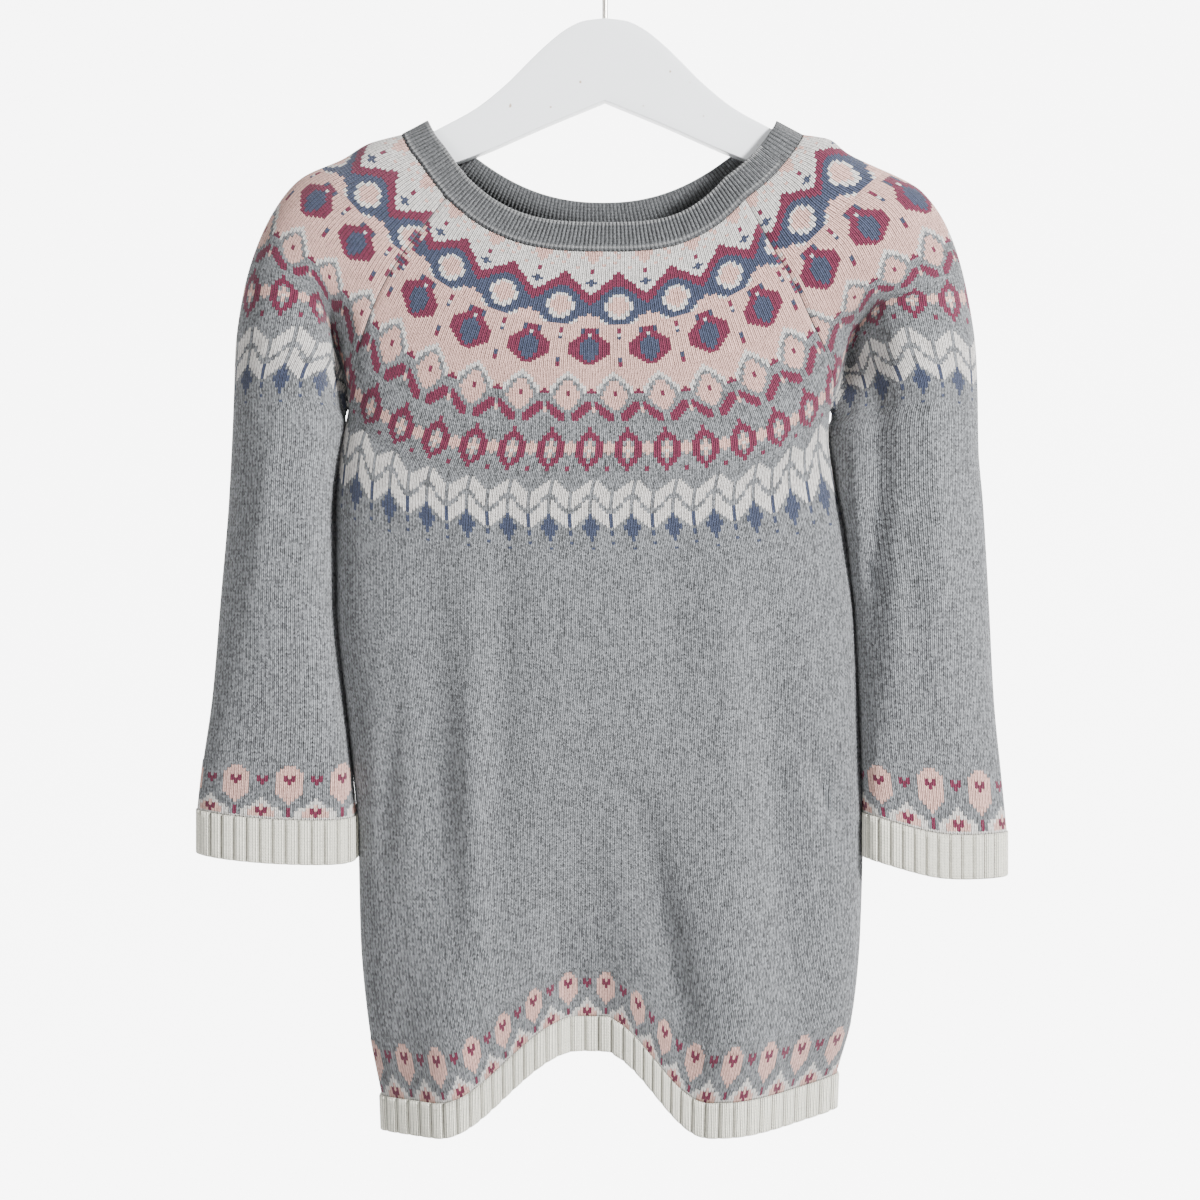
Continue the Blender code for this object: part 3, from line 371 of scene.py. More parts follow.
def sleeveRow(course, leftSide):  # a row of a sleeve, from the front seam round the outside to the back seam
    rows = sleeveLeftRows if leftSide else sleeveRightRows
    controls = between([row[0] for row in rows], [row[1:] for row in rows], course)[0]
    if course < cloth["sleeveUnderarm"]:
        bodyCourse = bodyCourseOf(course)
        start = rowAt(raglanFrontLeft if leftSide else raglanFrontRight, bodyCourse)
        end = rowAt(raglanBackLeft if leftSide else raglanBackRight, bodyCourse)
        points = np.vstack([start, controls, end])
        points = np.vstack([2 * points[0] - points[1], points, 2 * points[-1] - points[-2]])
    else:
        under = rowAt(sleeveLeftUnderarm if leftSide else sleeveRightUnderarm, course)
        points = np.vstack([controls[-1], under, controls, under, controls[0]])
    return smoothLine(points, cloth["controlSteps"])


def bodyCourseOf(sleeveCourse):
    same = cloth["sameCourses"]
    return np.interp(sleeveCourse, (0, same, cloth["sleeveUnderarm"]), (0, same, cloth["underarm"]))


def sleeveShares(line, shares):  # shares of a sleeve row, with one half always on its outer edge
    edge = cloth["outerEdge"] * cloth["controlSteps"]
    shares = np.asarray(shares)
    front = readLine(line[: edge + 1], np.clip(shares * 2, 0, 1))
    back = readLine(line[edge:], np.clip(shares * 2 - 1, 0, 1))
    return np.where(shares[:, None] <= 0.5, front, back)


def creased(points, panel):  # soft troughs and ridges along (x, z) lines, each with a width and a depth
    moved = points.copy()
    for side, lines in panel["creases"].items():
        inwards = 1 if side == "front" else -1
        facing = np.clip(-inwards * points[:, 1] / cloth["creaseTurn"], 0, 1)
        for startX, startZ, endX, endZ, width, depth in lines:
            dx, dz = endX - startX, endZ - startZ
            length = math.hypot(dx, dz)
            along = ((points[:, 0] - startX) * dx + (points[:, 2] - startZ) * dz) / length**2
            across = ((points[:, 0] - startX) * dz - (points[:, 2] - startZ) * dx) / length
            fade = np.sin(np.clip(along, 0, 1) * math.pi) ** cloth["creaseFade"]
            moved[:, 1] += depth * inwards * facing * fade * np.exp(-((across / width) ** 2) * 2)
    return moved


def towardsBody(points, course, leftSide):  # below the armhole a sleeve's inner side hangs against the body
    side = 1 if leftSide else -1
    seams = np.array(sideSeams)[:, (1, 2) if leftSide else (3, 4)]
    inner = points[np.argmax(points[:, 0] * side)]
    bodyX = np.interp(-inner[2], -seams[:, 1], seams[:, 0])
    move = max(0.0, (bodyX - inner[0]) * side - cloth["sleeveGap"])
    move = move * ease(course, cloth["sleeveUnderarm"] - 1, cloth["sleeveAtBody"])
    middle = points[:, 0].mean()
    share = np.clip((points[:, 0] - middle) / (inner[0] - middle), 0, 1) ** cloth["sleeveBulge"]
    moved = points.copy()
    moved[:, 0] += side * move * share
    return moved


def panelLine(panel, course, shares):
    if panel["kind"] == "body":
        points = readLine(bodyRow(course, panel["front"]), shares)
    else:
        points = sleeveShares(towardsBody(sleeveRow(course, panel["left"]), course, panel["left"]), shares)
    return creased(points, panel)


def gridNormals(grid, flip):  # outward directions over a grid of rows
    across = np.gradient(grid, axis=1)
    down = np.gradient(grid, axis=0)
    return unit(np.cross(down, across)) * (-1 if flip else 1)


def zipped(upperAt, lowerAt):  # triangles between two lines with different counts, as (is upper, index)
    i = j = 0
    while i < len(upperAt) - 1 or j < len(lowerAt) - 1:
        if j == len(lowerAt) - 1 or (i < len(upperAt) - 1 and upperAt[i + 1] <= lowerAt[j + 1]):
            yield (True, i), (False, j), (True, i + 1)
            i += 1
        else:
            yield (True, i), (False, j), (False, j + 1)
            j += 1


class Weave:  # gathers the points, faces, stitch places and yarn colours of one cloth panel
    def __init__(self):
        self.points, self.faces, self.stitch, self.yarn = [], [], [], []
        self.count = 0

    def line(self, points, closed=False):
        points = points[:-1] if closed else points
        made = list(range(self.count, self.count + len(points)))
        self.points.append(points)
        self.count += len(points)
        return made + made[:1] if closed else made

    def face(self, corners, stitch, yarn):
        if len(set(corners)) < len(corners):  # where an open row meets a closed one
            keep = [i for i in range(len(corners)) if corners[i] != corners[i - 1]]
            if len(keep) < 3:
                return
            corners, stitch = [corners[i] for i in keep], [stitch[i] for i in keep]
        self.faces.append(tuple(corners))
        self.stitch.extend(stitch)
        self.yarn.extend([yarn] * len(corners))

    def join(self, upper, lower, upperAt, lowerAt, upperStitch, lowerStitch, yarn):
        for tri in zipped(upperAt, lowerAt):
            corners = [upper[i] if isUp else lower[i] for isUp, i in tri]
            stitch = [upperStitch[i] if isUp else lowerStitch[i] for isUp, i in tri]
            self.face(corners, stitch, yarn)

    def finish(self, name, skin):
        mesh = bpy.data.meshes.new(name)
        mesh.from_pydata((np.vstack(self.points) * mm).tolist(), [], self.faces)
        stitchMap = mesh.uv_layers.new(name="stitch")
        stitchMap.data.foreach_set("uv", np.array(self.stitch, dtype=np.float32).ravel())
        # yarn colour per corner; on the ribs it also carries painted shade in the rib valleys
        yarnColour = mesh.color_attributes.new("yarn", "FLOAT_COLOR", "CORNER")
        yarnColour.data.foreach_set("color", np.array(self.yarn, dtype=np.float32).ravel())
        mesh.materials.append(skin)
        mesh.shade_smooth()
        made = bpy.data.objects.new(name, mesh)
        bpy.context.scene.collection.objects.link(made)
        turnOutwards(made)
        return made


def turnOutwards(piece):
    shape = bmesh.new()
    shape.from_mesh(piece.data)
    bmesh.ops.recalc_face_normals(shape, faces=shape.faces[:])
    if shape.calc_volume(signed=True) < 0:
        bmesh.ops.reverse_faces(shape, faces=shape.faces[:])
    shape.to_mesh(piece.data)
    shape.free()


def knitBand(weave, panel, band, above, edges):  # one band's outer side; above is the last row of the band before
    fine = band["chart"] is not None
    across = 2 * band["wales"] if fine else band["wales"] // 2
    courses = [*np.arange(band["from"], band["to"], 1 if fine else cloth["plainStep"]), band["to"]]
    shares = np.arange(across + 1) / across
    grid = np.array([panelLine(panel, c, shares) for c in courses])
    at = np.array(courses, float)[:, None] + np.zeros(across + 1)
    width = np.linalg.norm(np.diff(grid, axis=1), axis=2).sum(axis=1)
    fromSeam = np.minimum(shares, 1 - shares)[None] * width[:, None]
    sunk = cloth["seamDip"] * np.exp(-((fromSeam / cloth["seamWidth"]) ** 2))
    grid = grid - gridNormals(grid, panel["flip"]) * sunk[..., None]
    if fine:  # a stitch's middle hangs lower than its sides
        grid[:-1, 1::2] += (grid[1:, 1::2] - grid[:-1, 1::2]) * cloth["stitchDip"]
        at[:-1, 1::2] += cloth["stitchDip"]
    rows = []
    for r, c in enumerate(courses):
        rows.append(weave.line(grid[r], c >= panel["closedFrom"]))
        if c <= panel["closedFrom"]:
            edges.append((c, rows[-1][0], rows[-1][-1]))
    stitch = np.stack([np.broadcast_to(shares * band["wales"], at.shape), at], axis=2)
    if above:
        upStitch = np.stack([above["shares"] * band["wales"], above["at"]], axis=1)
        weave.join(above["row"], rows[0], above["shares"], shares, upStitch, stitch[0], yarns[above["ground"]])
    for r in range(len(courses) - 1):
        for c in range(across):
            yarn = chartYarn(panel, band, r, c // 2) if fine else yarns[band["ground"]]
            corners = (rows[r][c], rows[r + 1][c], rows[r + 1][c + 1], rows[r][c + 1])
            places = (stitch[r, c], stitch[r + 1, c], stitch[r + 1, c + 1], stitch[r, c + 1])
            weave.face(corners, places, yarn)
    return [{"row": rows[r], "at": at[r], "shares": shares, "ground": band["ground"]} for r in (0, -1)]


def knitInside(weave, panel, top, last, edges):  # the plain inside, then the rims that join it to the outside
    courses, count = panel["insideCourses"], panel["insideColumns"]
    inside, wales = yarns["inside"], cloth["insideWales"]
    shares = np.arange(count + 1) / count
    grid = np.array([panelLine(panel, c, shares) for c in courses])
    grid = grid - gridNormals(grid, panel["flip"]) * cloth["wall"]
    stitch = np.stack(np.broadcast_arrays(shares[None] * wales, np.array(courses, float)[:, None]), axis=2)
    rows = [weave.line(grid[r], c >= panel["closedFrom"]) for r, c in enumerate(courses)]
    for r in range(len(courses) - 1):
        for c in range(count):
            corners = (rows[r][c], rows[r][c + 1], rows[r + 1][c + 1], rows[r + 1][c])
            places = (stitch[r, c], stitch[r, c + 1], stitch[r + 1, c + 1], stitch[r + 1, c])
            weave.face(corners, places, inside)
    for outer, inner, places in ((top, rows[0], stitch[0]), (last, rows[-1], stitch[-1])):
        outerPlaces = np.stack([outer["shares"] * wales, outer["at"]], axis=1)
        weave.join(outer["row"], inner, outer["shares"], shares, outerPlaces, places, inside)
    outerAt = [edge[0] for edge in edges]
    innerAt = [c for c in courses if c <= panel["closedFrom"]]
    outerPlaces, innerPlaces = [(0, a) for a in outerAt], [(1, a) for a in innerAt]
    for side, end in ((1, 0), (2, -1)):
        outer = [edge[side] for edge in edges]
        inner = [row[end] for row in rows[: len(innerAt)]]
        weave.join(outer, inner, outerAt, innerAt, outerPlaces, innerPlaces, inside)


def knit(name, panel, skin):
    weave = Weave()
    ends, edges = [], []
    for band in panel["bands"]:
        ends += knitBand(weave, panel, band, ends[-1] if ends else None, edges)
    knitInside(weave, panel, ends[0], ends[-1], edges)
    return weave.finish(name, skin)


def chartYarn(panel, band, row, wale):
    course = band["from"] + row
    for atStart, first, last, wide in panel["seamStitches"]:  # sewn stitches in mixed yarns beside a seam
        if first <= course < last and (wale < wide if atStart else wale >= band["wales"] - wide):
            return yarns["mpnpmwnpm"[(course * 2 + wale * 5) % 9]]
    chart = band["chart"]
    line = chart[row] if row < len(chart) else band["ground"]
    return yarns[line[(wale + band["shift"]) % len(line)]]


def ribbed(name, top, bottom, inward, size, closed, skin):  # rounded ribs outside, plain inside, soft lower edge
    ribs, steps, rows = size["ribs"], size["steps"], size["rows"]
    shares = np.arange(ribs * steps + 1) / (ribs * steps)
    topLine, bottomLine = readLine(top, shares), readLine(bottom, shares)
    ins = unit(np.stack([np.interp(shares, np.linspace(0, 1, len(inward)), inward[:, i]) for i in range(3)], axis=1))
    phase = shares * ribs
    lift = size["raise"] * np.array([size["profile"](p % 1) for p in phase])
    half = size["wall"] / 2
    section = []  # height share from top to bottom, depth from the outside, how far the ribs stand out
    for r in range(rows + 1):
        section.append((r / rows, 0.0, 1.0))
    for turn in (30, 60, 90, 120, 150):  # degrees round the lower edge
        a = math.radians(turn)
        section.append((1 + math.sin(a) * size["soft"], half - half * math.cos(a), max(0.0, math.cos(a))))
    section.append((1.0, size["wall"], 0.0))
    section.append((0.0, size["wall"], 0.0))
    weave = Weave()
    lines = []
    for height, depth, raised in section:
        points = topLine + (bottomLine - topLine) * height
        fromCord = (height - size["cordAt"]) / size["cordWidth"]
        cord = size["cord"] * math.exp(-(fromCord**2)) if raised else 0
        if depth == size["wall"]:
            points = points + ins * (depth + lift * size["inside"])[:, None]
        else:
            points = points + ins * (depth - np.maximum(lift * raised, cord))[:, None]
        lines.append(weave.line(points, closed))
    # painted shade: each rib column's yarn colour is darkened towards the valleys between the ribs
    lit = [size["valley"] + (1 - size["valley"]) * size["profile"](p % 1) for p in (phase[:-1] + phase[1:]) / 2]
    tall = np.linalg.norm(bottomLine - topLine, axis=1).mean() / size["course"]
    yarn, edgeYarn = yarns[size["yarn"]], yarns[size["edgeYarn"]]
    for r in range(len(section)):
        upper, lower = lines[r], lines[(r + 1) % len(section)]
        v0, v1 = section[r][0] * tall, section[(r + 1) % len(section)][0] * tall
        red, green, blue, mottle = edgeYarn if r in size["edgeRows"] else yarn
        for c in range(len(shares) - 1):
            u0, u1 = phase[c] * size["wales"], phase[c + 1] * size["wales"]
            corners = (upper[c], lower[c], lower[c + 1], upper[c + 1])
            places = ((u0, v0), (u0, v1), (u1, v1), (u1, v0))
            shade = lit[c] if r < rows or size["inside"] else size["insideShade"]
            weave.face(corners, places, (red * shade, green * shade, blue * shade, mottle))
    if not closed:
        for c in (0, -1):
            weave.face([line[c] for line in lines], [(0, s[0] * tall) for s in section], yarn)
    return weave.finish(name, skin)


# yarn colours: linear red, green, blue, and how strongly the yarn is mottled
yarns = {
    "inside": (0.14, 0.147, 0.157, 0.8),
    "rib": (0.17, 0.176, 0.184, 0.7),
    "ribEdge": (0.33, 0.335, 0.34, 0.4),
    "cream": (0.90, 0.875, 0.75, 0.12),
    "g": (0.175, 0.182, 0.192, 1.0),
    "w": (0.60, 0.575, 0.55, 0.4),
    "p": (0.62, 0.375, 0.32, 0.35),
    "m": (0.135, 0.02, 0.047, 0.35),
    "n": (0.043, 0.053, 0.092, 0.4),
}


def setInputs(node, values):
    for name, value in values.items():
        node.inputs[name].default_value = value


def mathNode(tree, kind, a, b=None, c=None):
    node = tree.nodes.new("ShaderNodeMath")
    node.operation = kind
    for i, value in enumerate((a, b, c)):
        if value is None:
            continue
        if hasattr(value, "is_linked"):
            tree.links.new(value, node.inputs[i])
        else:
            node.inputs[i].default_value = value
    return node.outputs[0]


def makeStitchGroup():  # rows of V stitches from stitch places: u in wales, v in courses
    group = bpy.data.node_groups.new("knitStitches", "ShaderNodeTree")
    group.interface.new_socket(name="Place", in_out="INPUT", socket_type="NodeSocketVector")
    dip = group.interface.new_socket(name="Dip", in_out="INPUT", socket_type="NodeSocketFloat")
    dip.default_value = cloth["stitchDip"]
    for name in ("Height", "Gap", "Cell", "Streak"):
        group.interface.new_socket(name=name, in_out="OUTPUT", socket_type="NodeSocketFloat")
    start = group.nodes.new("NodeGroupInput")
    end = group.nodes.new("NodeGroupOutput")
    calc = partial(mathNode, group)
    split = group.nodes.new("ShaderNodeSeparateXYZ")
    group.links.new(start.outputs["Place"], split.inputs[0])
    u, v = split.outputs["X"], split.outputs["Y"]
    inWale = calc("FRACT", u)
    fromMiddle = calc("ABSOLUTE", calc("SUBTRACT", inWale, 0.5))
    sag = calc("MULTIPLY", calc("MULTIPLY_ADD", fromMiddle, -2.0, 1.0), start.outputs["Dip"])
    row = calc("SUBTRACT", v, sag)
    leg = calc("SINE", calc("MULTIPLY", calc("FRACT", calc("MULTIPLY", u, 2.0)), math.pi))
    along = calc("SINE", calc("MULTIPLY", calc("FRACT", row), math.pi))
    leg = calc("POWER", calc("MAXIMUM", leg, 0.0), 0.7)
    along = calc("POWER", calc("MAXIMUM", along, 0.0), 0.5)
    height = calc("MULTIPLY", leg, calc("MULTIPLY_ADD", along, 0.55, 0.45))
    group.links.new(height, end.inputs["Height"])
    # painted shade: darkening of the yarn colour between a stitch's legs and between stacked stitches
    gap = calc("SUBTRACT", 1.0, calc("SMOOTH_MIN", calc("MULTIPLY", height, 1.6), 1.0, 0.2))
    # painted shade: darkening of the yarn colour in the groove between two wales
    edge = calc("SINE", calc("MULTIPLY", inWale, math.pi))
    edge = calc("SUBTRACT", 1.0, calc("SMOOTH_MIN", calc("MULTIPLY", edge, 1.9), 1.0, 0.2))
    gap = calc("MAXIMUM", calc("MULTIPLY", gap, 0.6), edge)
    group.links.new(gap, end.inputs["Gap"])
    cells = group.nodes.new("ShaderNodeCombineXYZ")
    group.links.new(calc("FLOOR", calc("MULTIPLY", u, 2.0)), cells.inputs["X"])
    group.links.new(calc("FLOOR", calc("MULTIPLY", row, 1.5)), cells.inputs["Y"])
    cell = group.nodes.new("ShaderNodeTexWhiteNoise")
    cell.noise_dimensions = "2D"
    group.links.new(cells.outputs[0], cell.inputs["Vector"])
    group.links.new(cell.outputs["Value"], end.inputs["Cell"])
    streaks = group.nodes.new("ShaderNodeCombineXYZ")
    group.links.new(calc("MULTIPLY", u, 0.7), streaks.inputs["X"])
    group.links.new(calc("MULTIPLY", calc("FLOOR", row), 0.1), streaks.inputs["Y"])
    streak = group.nodes.new("ShaderNodeTexNoise")
    streak.noise_dimensions = "2D"
    setInputs(streak, {"Scale": 1.0, "Detail": 3.0})
    group.links.new(streaks.outputs[0], streak.inputs["Vector"])
    group.links.new(streak.outputs["Fac"], end.inputs["Streak"])
    return group


def makeWool(name, group, look):  # knitted wool in the colours of the yarn attribute
    wool = bpy.data.materials.new(name)
    wool.use_nodes = True
    tree = wool.node_tree
    calc = partial(mathNode, tree)
    shader = tree.nodes["Principled BSDF"]
    setInputs(shader, {
        "Roughness": look["roughness"], "Specular IOR Level": look["shine"],
        "Sheen Weight": look["sheen"], "Sheen Roughness": look["sheenRoughness"],
    })
    place = tree.nodes.new("ShaderNodeUVMap")
    place.uv_map = "stitch"
    yarn = tree.nodes.new("ShaderNodeVertexColor")
    yarn.layer_name = "yarn"
    stitches = tree.nodes.new("ShaderNodeGroup")
    stitches.node_tree = group
    tree.links.new(place.outputs["UV"], stitches.inputs["Place"])
    mottle = calc("MULTIPLY", calc("SUBTRACT", stitches.outputs["Cell"], 0.5), look["cell"])
    streak = calc("MULTIPLY", calc("SUBTRACT", stitches.outputs["Streak"], 0.5), look["streak"])
    mottle = calc("MULTIPLY", calc("ADD", mottle, streak), yarn.outputs["Alpha"])
    # painted shade: the yarn colour is darkened in the gaps between stitch legs and between wales
    paintedShade = calc("MULTIPLY", stitches.outputs["Gap"], -look["gap"])
    tone = calc("MAXIMUM", calc("ADD", calc("ADD", mottle, paintedShade), 1.0), look["darkest"])
    colour = tree.nodes.new("ShaderNodeVectorMath")
    colour.operation = "SCALE"
    tree.links.new(yarn.outputs["Color"], colour.inputs[0])
    tree.links.new(tone, colour.inputs["Scale"])
    tree.links.new(colour.outputs[0], shader.inputs["Base Color"])
    fibres = tree.nodes.new("ShaderNodeTexNoise")
    setInputs(fibres, {"Scale": look["fibreScale"], "Detail": 4})
    where = tree.nodes.new("ShaderNodeTexCoord")
    tree.links.new(where.outputs["Object"], fibres.inputs["Vector"])
    height = calc("MULTIPLY_ADD", fibres.outputs["Fac"], look["fibre"], stitches.outputs["Height"])
    bump = tree.nodes.new("ShaderNodeBump")
    setInputs(bump, {"Strength": look["bump"], "Distance": look["depth"] * mm})
    tree.links.new(height, bump.inputs["Height"])
    tree.links.new(bump.outputs["Normal"], shader.inputs["Normal"])
    return wool


woolLook = {
    "roughness": 0.95, "shine": 0.15, "sheen": 0.12, "sheenRoughness": 0.5,
    "cell": 0.9, "streak": 0.4, "gap": 0.95, "darkest": 0.05,
    "fibreScale": 1400, "fibre": 0.5, "bump": 1.0, "depth": 0.8,
}
wool = makeWool("heatherWool", makeStitchGroup(), woolLook)

# Charts drawn one letter a stitch: g grey, w off-white, p pink, m maroon, n navy.
# The first column is between motifs.
ringChart = """
    pppwwwpwwwwwpp pppwwwwpwwwwpp ppwwpwwpwwwpwp ppwwwwwwwwwwwp pwwwwwpwwwwwww wwwpwwwwwwwwww wwwwwwwwwwpwww
    mwwwwwwwwwwwww mwwwwwwmwwwwww wwwwwwmmmwwwww wwwwwwmmmwwwww nwwwwmmmmmwwww nnwwmmmmmmmwwn nwwmmmmmmmmmww
    wwwmmmnnnmmmww wwmmmnnnnnmmmw wmmmnnnnnnnmmm mmmnnnwwwnnnmm mmmnnwpppwnnmm mmnnnwpppwnnnm mnnnwpppppwnnn
    nnnnwpppppwnnn nnnnwpppppwnnn nnnnnwpppwnnnn pnnnnwwpwwnnnn pppnnnwwwnnnpp pppwnnnnnnnwpp ppppwnnnnnwppp"""
medallionChart = """
    mpppppnmmmnppppp mpppppnmmmnppppp wpppppmmwmmppppp nppppmmmnmmmpppp ppppmmmnnnmmmppp pppmmmnnnnnmmmpp
    pppmmmnnnnnmmmpp pppmmmnnnnnmmmpp pppmmmnnnnnmmmpp pppmmmnnnnnmmmpp ppppmmmnnnmmmppp nppppmmnnnmmpppp
    npppppmmnmmppppp mppppppmmmpppppp mppppppppppppppp pppppppppppppppp pppppppppppppppp"""
blossomChart = """
    pppppppwpppppp ppppppwwwppppp pppppwwgwwpppp ppppwwgggwwppp ppppwgpppgwppp pppwggpppggwpp ppwwgpppppgwwp
    mpwggpppppggwp mmwgpppmpppgwm ggggpppmpppggg gggppppppppggg ggggppppppgggg gmggppppppggmm gmmggppppggmmm
    pmmmggppggmmmm pgmmmggggmmmmg ggmmmmggmmmmgg gggmmmggmmmggg ggggmmggmmgggg gggggggggggggg gggggggggggggg"""
lozengeChart = """
    gggggmgggg gggggmgggg ggggmmmggg gggmmmmmgg gggmmgmmgg pgmmgpgmmg ppmmgpgmmp ppmmpppmmp ppmmpwpmmp
    pgmmgpgmmg ggmmgpgmmg gggmmgmmgg gggmmgmmgg ggggmmmggg mggggmgggg mggggmgggg gggggggggg"""
cuffChart = """
    ggggggpppggggg gggggpppppgggg ggggpppppppggg gmggppmpmppggm mmggppmmmppggm mgggpppmpppggg ggggpppppppggg
    ggggpppppppggg ggggpppppppggg gggggpppppgggg wgggggpppggggg wwgggggpgggggw pwwgggggggggww pmpwwggmggwwpm
    mmppwwgmgwwppm mpppwwgmgwwppp wwwwwwwwwwwwww"""
hemChart = """
    ggggggpppggggg gggggpppppgggg gmggppmpmppggm mmggppmmmppggm mgggpppmpppggg ggggpppppppggg ggggpppppppggg
    gggggpppppgggg wgggggpppggggg wwgggggpgggggw pwwgggggggggww pmpwwggmggwwpm mmppwwgmgwwppm mpppwwwwwwwppp"""


def chevronChart():  # off-white arms fall away from a navy diamond, with dashes between
    chart = [["g"] * 12 for row in range(28)]
    for row in range(28):
        for column in range(12):
            d = abs(column - 6)
            if 1 <= d <= 5 and (1.2 * d <= row < 5.5 + 1.2 * d or 7.5 + 1.2 * d <= row < 13 + 1.2 * d):
                chart[row][column] = "w"
    for column, yarn, firstRow, lastRow in (
        (0, "n", 14, 18), (0, "n", 20, 21), (0, "n", 24, 24), (6, "n", 14, 23), (6, "n", 26, 26),
        (5, "n", 16, 21), (7, "n", 16, 21), (4, "n", 18, 19), (8, "n", 18, 19),
    ):
        for row in range(firstRow, lastRow + 1):
            chart[row][column] = yarn
    return ["".join(row) for row in chart]


charts = {
    "rings": {"rows": ringChart.split(), "spacing": 31.5, "centre": 7},
    "medallions": {"rows": medallionChart.split(), "spacing": 34.9, "centre": 8},
    "blossoms": {"rows": blossomChart.split(), "spacing": 27.1, "centre": 7},
    "lozenges": {"rows": lozengeChart.split(), "spacing": 22.3, "centre": 5},
    "chevrons": {"rows": chevronChart(), "spacing": 23.7, "centre": 6},
    "hemOvals": {"rows": hemChart.split(), "spacing": 22.4, "centre": 7},
    "cuffOvals": {"rows": cuffChart.split(), "spacing": 27.8, "centre": 7},
}
# courses of the plain inside
bodyInside = (
    0, 6, 12, 20, 28, 36, 45, 54, 60, 66, 70, 74, 78, 82, 86, 92, 98, 104, 112, 126, 140, 157, 175, 192, 210,
    225, 240, 251, 262, 271, 280,
)
sleeveInside = (
    0, 6, 12, 20, 28, 36, 45, 54, 60, 66, 70, 74, 83, 93, 101, 108, 113, 118, 125, 134, 143, 159, 176, 192, 209,
    221, 232, 239, 246,
)

# first course, last course, chart, ground yarn; None is plain
yokeBands = (
    (0, 28, "rings", "p"), (29, 45, "medallions", "p"), (46, 66, "blossoms", "g"), (67, 83, "lozenges", "g"),
    (84, 111, "chevrons", "g"),
)
bodyBands = (*yokeBands, (114, 265, None, "g"), (266, 280, "hemOvals", "g"))
sleeveBands = (*yokeBands, (114, 228, None, "g"), (229, 246, "cuffOvals", "g"))
# spots: where one motif of each band sits, as (x, z)
panels = {
    "frontKnit": {
        "kind": "body", "front": True, "flip": False,
        "spots": ((8.7, -237), (-8.7, -264), (5.8, -291), (-8.7, -321), (-9.5, -370), None, (0.6, -641)),
    },
    "backKnit": {
        "kind": "body", "front": False, "flip": True,
        "spots": ((-8.7, -215), (8.7, -245), (-5.8, -280), (8.7, -315), (9.5, -365), None, (-6, -650)),
    },
    "sleeveLeftKnit": {
        "kind": "sleeve", "left": True, "flip": True,
        "spots": ((-134, -172.5), (-167, -178), (-178, -205), (-185, -231), (-182, -286), None, (-214.6, -516.5)),
    },
    "sleeveRightKnit": {
        "kind": "sleeve", "left": False, "flip": False,
        "spots": ((142.5, -162), (152, -193), (165, -215), (176.5, -235), (179.5, -288), None, (188, -520.5)),
    },
}
# soft troughs (depth above 0) and ridges, as (start x, start z, end x, end z, width, depth)
creases = {
    "frontKnit": {"front": (
        (-100, -360, -88, -665, 19, 8.0), (-56, -330, -64, -610, 15, 5.5), (-76, -400, -74, -660, 9, -2.4),
        (14, -500, 54, -695, 15, 7.5), (92, -380, 106, -665, 17, 7.0), (66, -350, 74, -560, 13, -2.8),
        (104, -470, 146, -560, 9, 4.5), (-118, -420, -130, -600, 8, 3.5), (-2, -250, 2, -330, 18, 2.0),
        (-30, -560, -22, -660, 12, 3.5), (40, -360, 34, -500, 14, 3.0),
    )},
    "backKnit": {"back": (
        (-90, -370, -78, -640, 18, 7.0), (-46, -300, -58, -600, 15, 5.0), (-8, -420, -14, -650, 9, -3.1),
        (30, -360, 44, -640, 16, 6.5), (74, -340, 84, -560, 12, -3.4), (98, -430, 112, -640, 13, 5.0),
        (-112, -460, -132, -560, 8, 3.4),
    )},
    "sleeveLeftKnit": {
        "front": (
            (-156, -240, -157, -505, 11, 9.0), (-186, -280, -205, -430, 9, -3.1), (-150, -300, -170, -420, 6, 3.4),
        ),
        "back": ((-172, -240, -190, -480, 9, 4.1), (-205, -330, -216, -500, 8, 3.1)),
    },
    "sleeveRightKnit": {
        "front": (
            (161, -240, 153, -505, 11, 9.0), (186, -270, 196, -440, 9, -3.1), (172, -350, 184, -500, 7, 3.4),
        ),
        "back": ((176, -240, 172, -480, 9, 4.1), (204, -300, 212, -470, 8, 3.1)),
    },
}
# stitches sewn beside a seam: at the row's start, first course, last course, wales wide
seamStitches = {
    "frontKnit": ((True, 14, 38, 2), (False, 22, 40, 1)),
    "sleeveLeftKnit": ((True, 16, 36, 1),),
    "sleeveRightKnit": ((True, 22, 40, 1),),
}


def waleAt(panel, course, wales, spot):  # the wale of a course nearest to a spot seen from the panel's side
    line = panelLine(panel, course, (np.arange(wales) + 0.5) / wales)
    facing = line[:, 1] * (1 if panel.get("front") is False else -1) > -2
    away = np.hypot(line[:, 0] - spot[0], line[:, 2] - spot[1]) + np.where(facing, 0, 1000)
    return int(np.argmin(away))


def plannedBand(panel, start, end, motif, ground, spot):  # its wales, and its chart moved to meet the spot
    middle = (start + end) / 2
    row = bodyRow(middle, panel["front"]) if panel["kind"] == "body" else sleeveRow(middle, panel["left"])
    length = runOf(row)[-1]
    band = {"from": start, "to": end, "ground": ground}
    if not motif:
        return {**band, "wales": 2 * round(length / cloth["wale"] / 2), "chart": None, "shift": 0}
    chart = charts[motif]
    repeat = len(chart["rows"][0])
    wales = round(length / chart["spacing"] * repeat)
    if motif == "cuffOvals":  # the cuffs' motifs meet round the arm
        wales = repeat * round(wales / repeat)
    shift = (chart["centre"] - waleAt(panel, middle, wales, spot)) % repeat
    return {**band, "wales": wales, "chart": chart["rows"], "shift": shift}


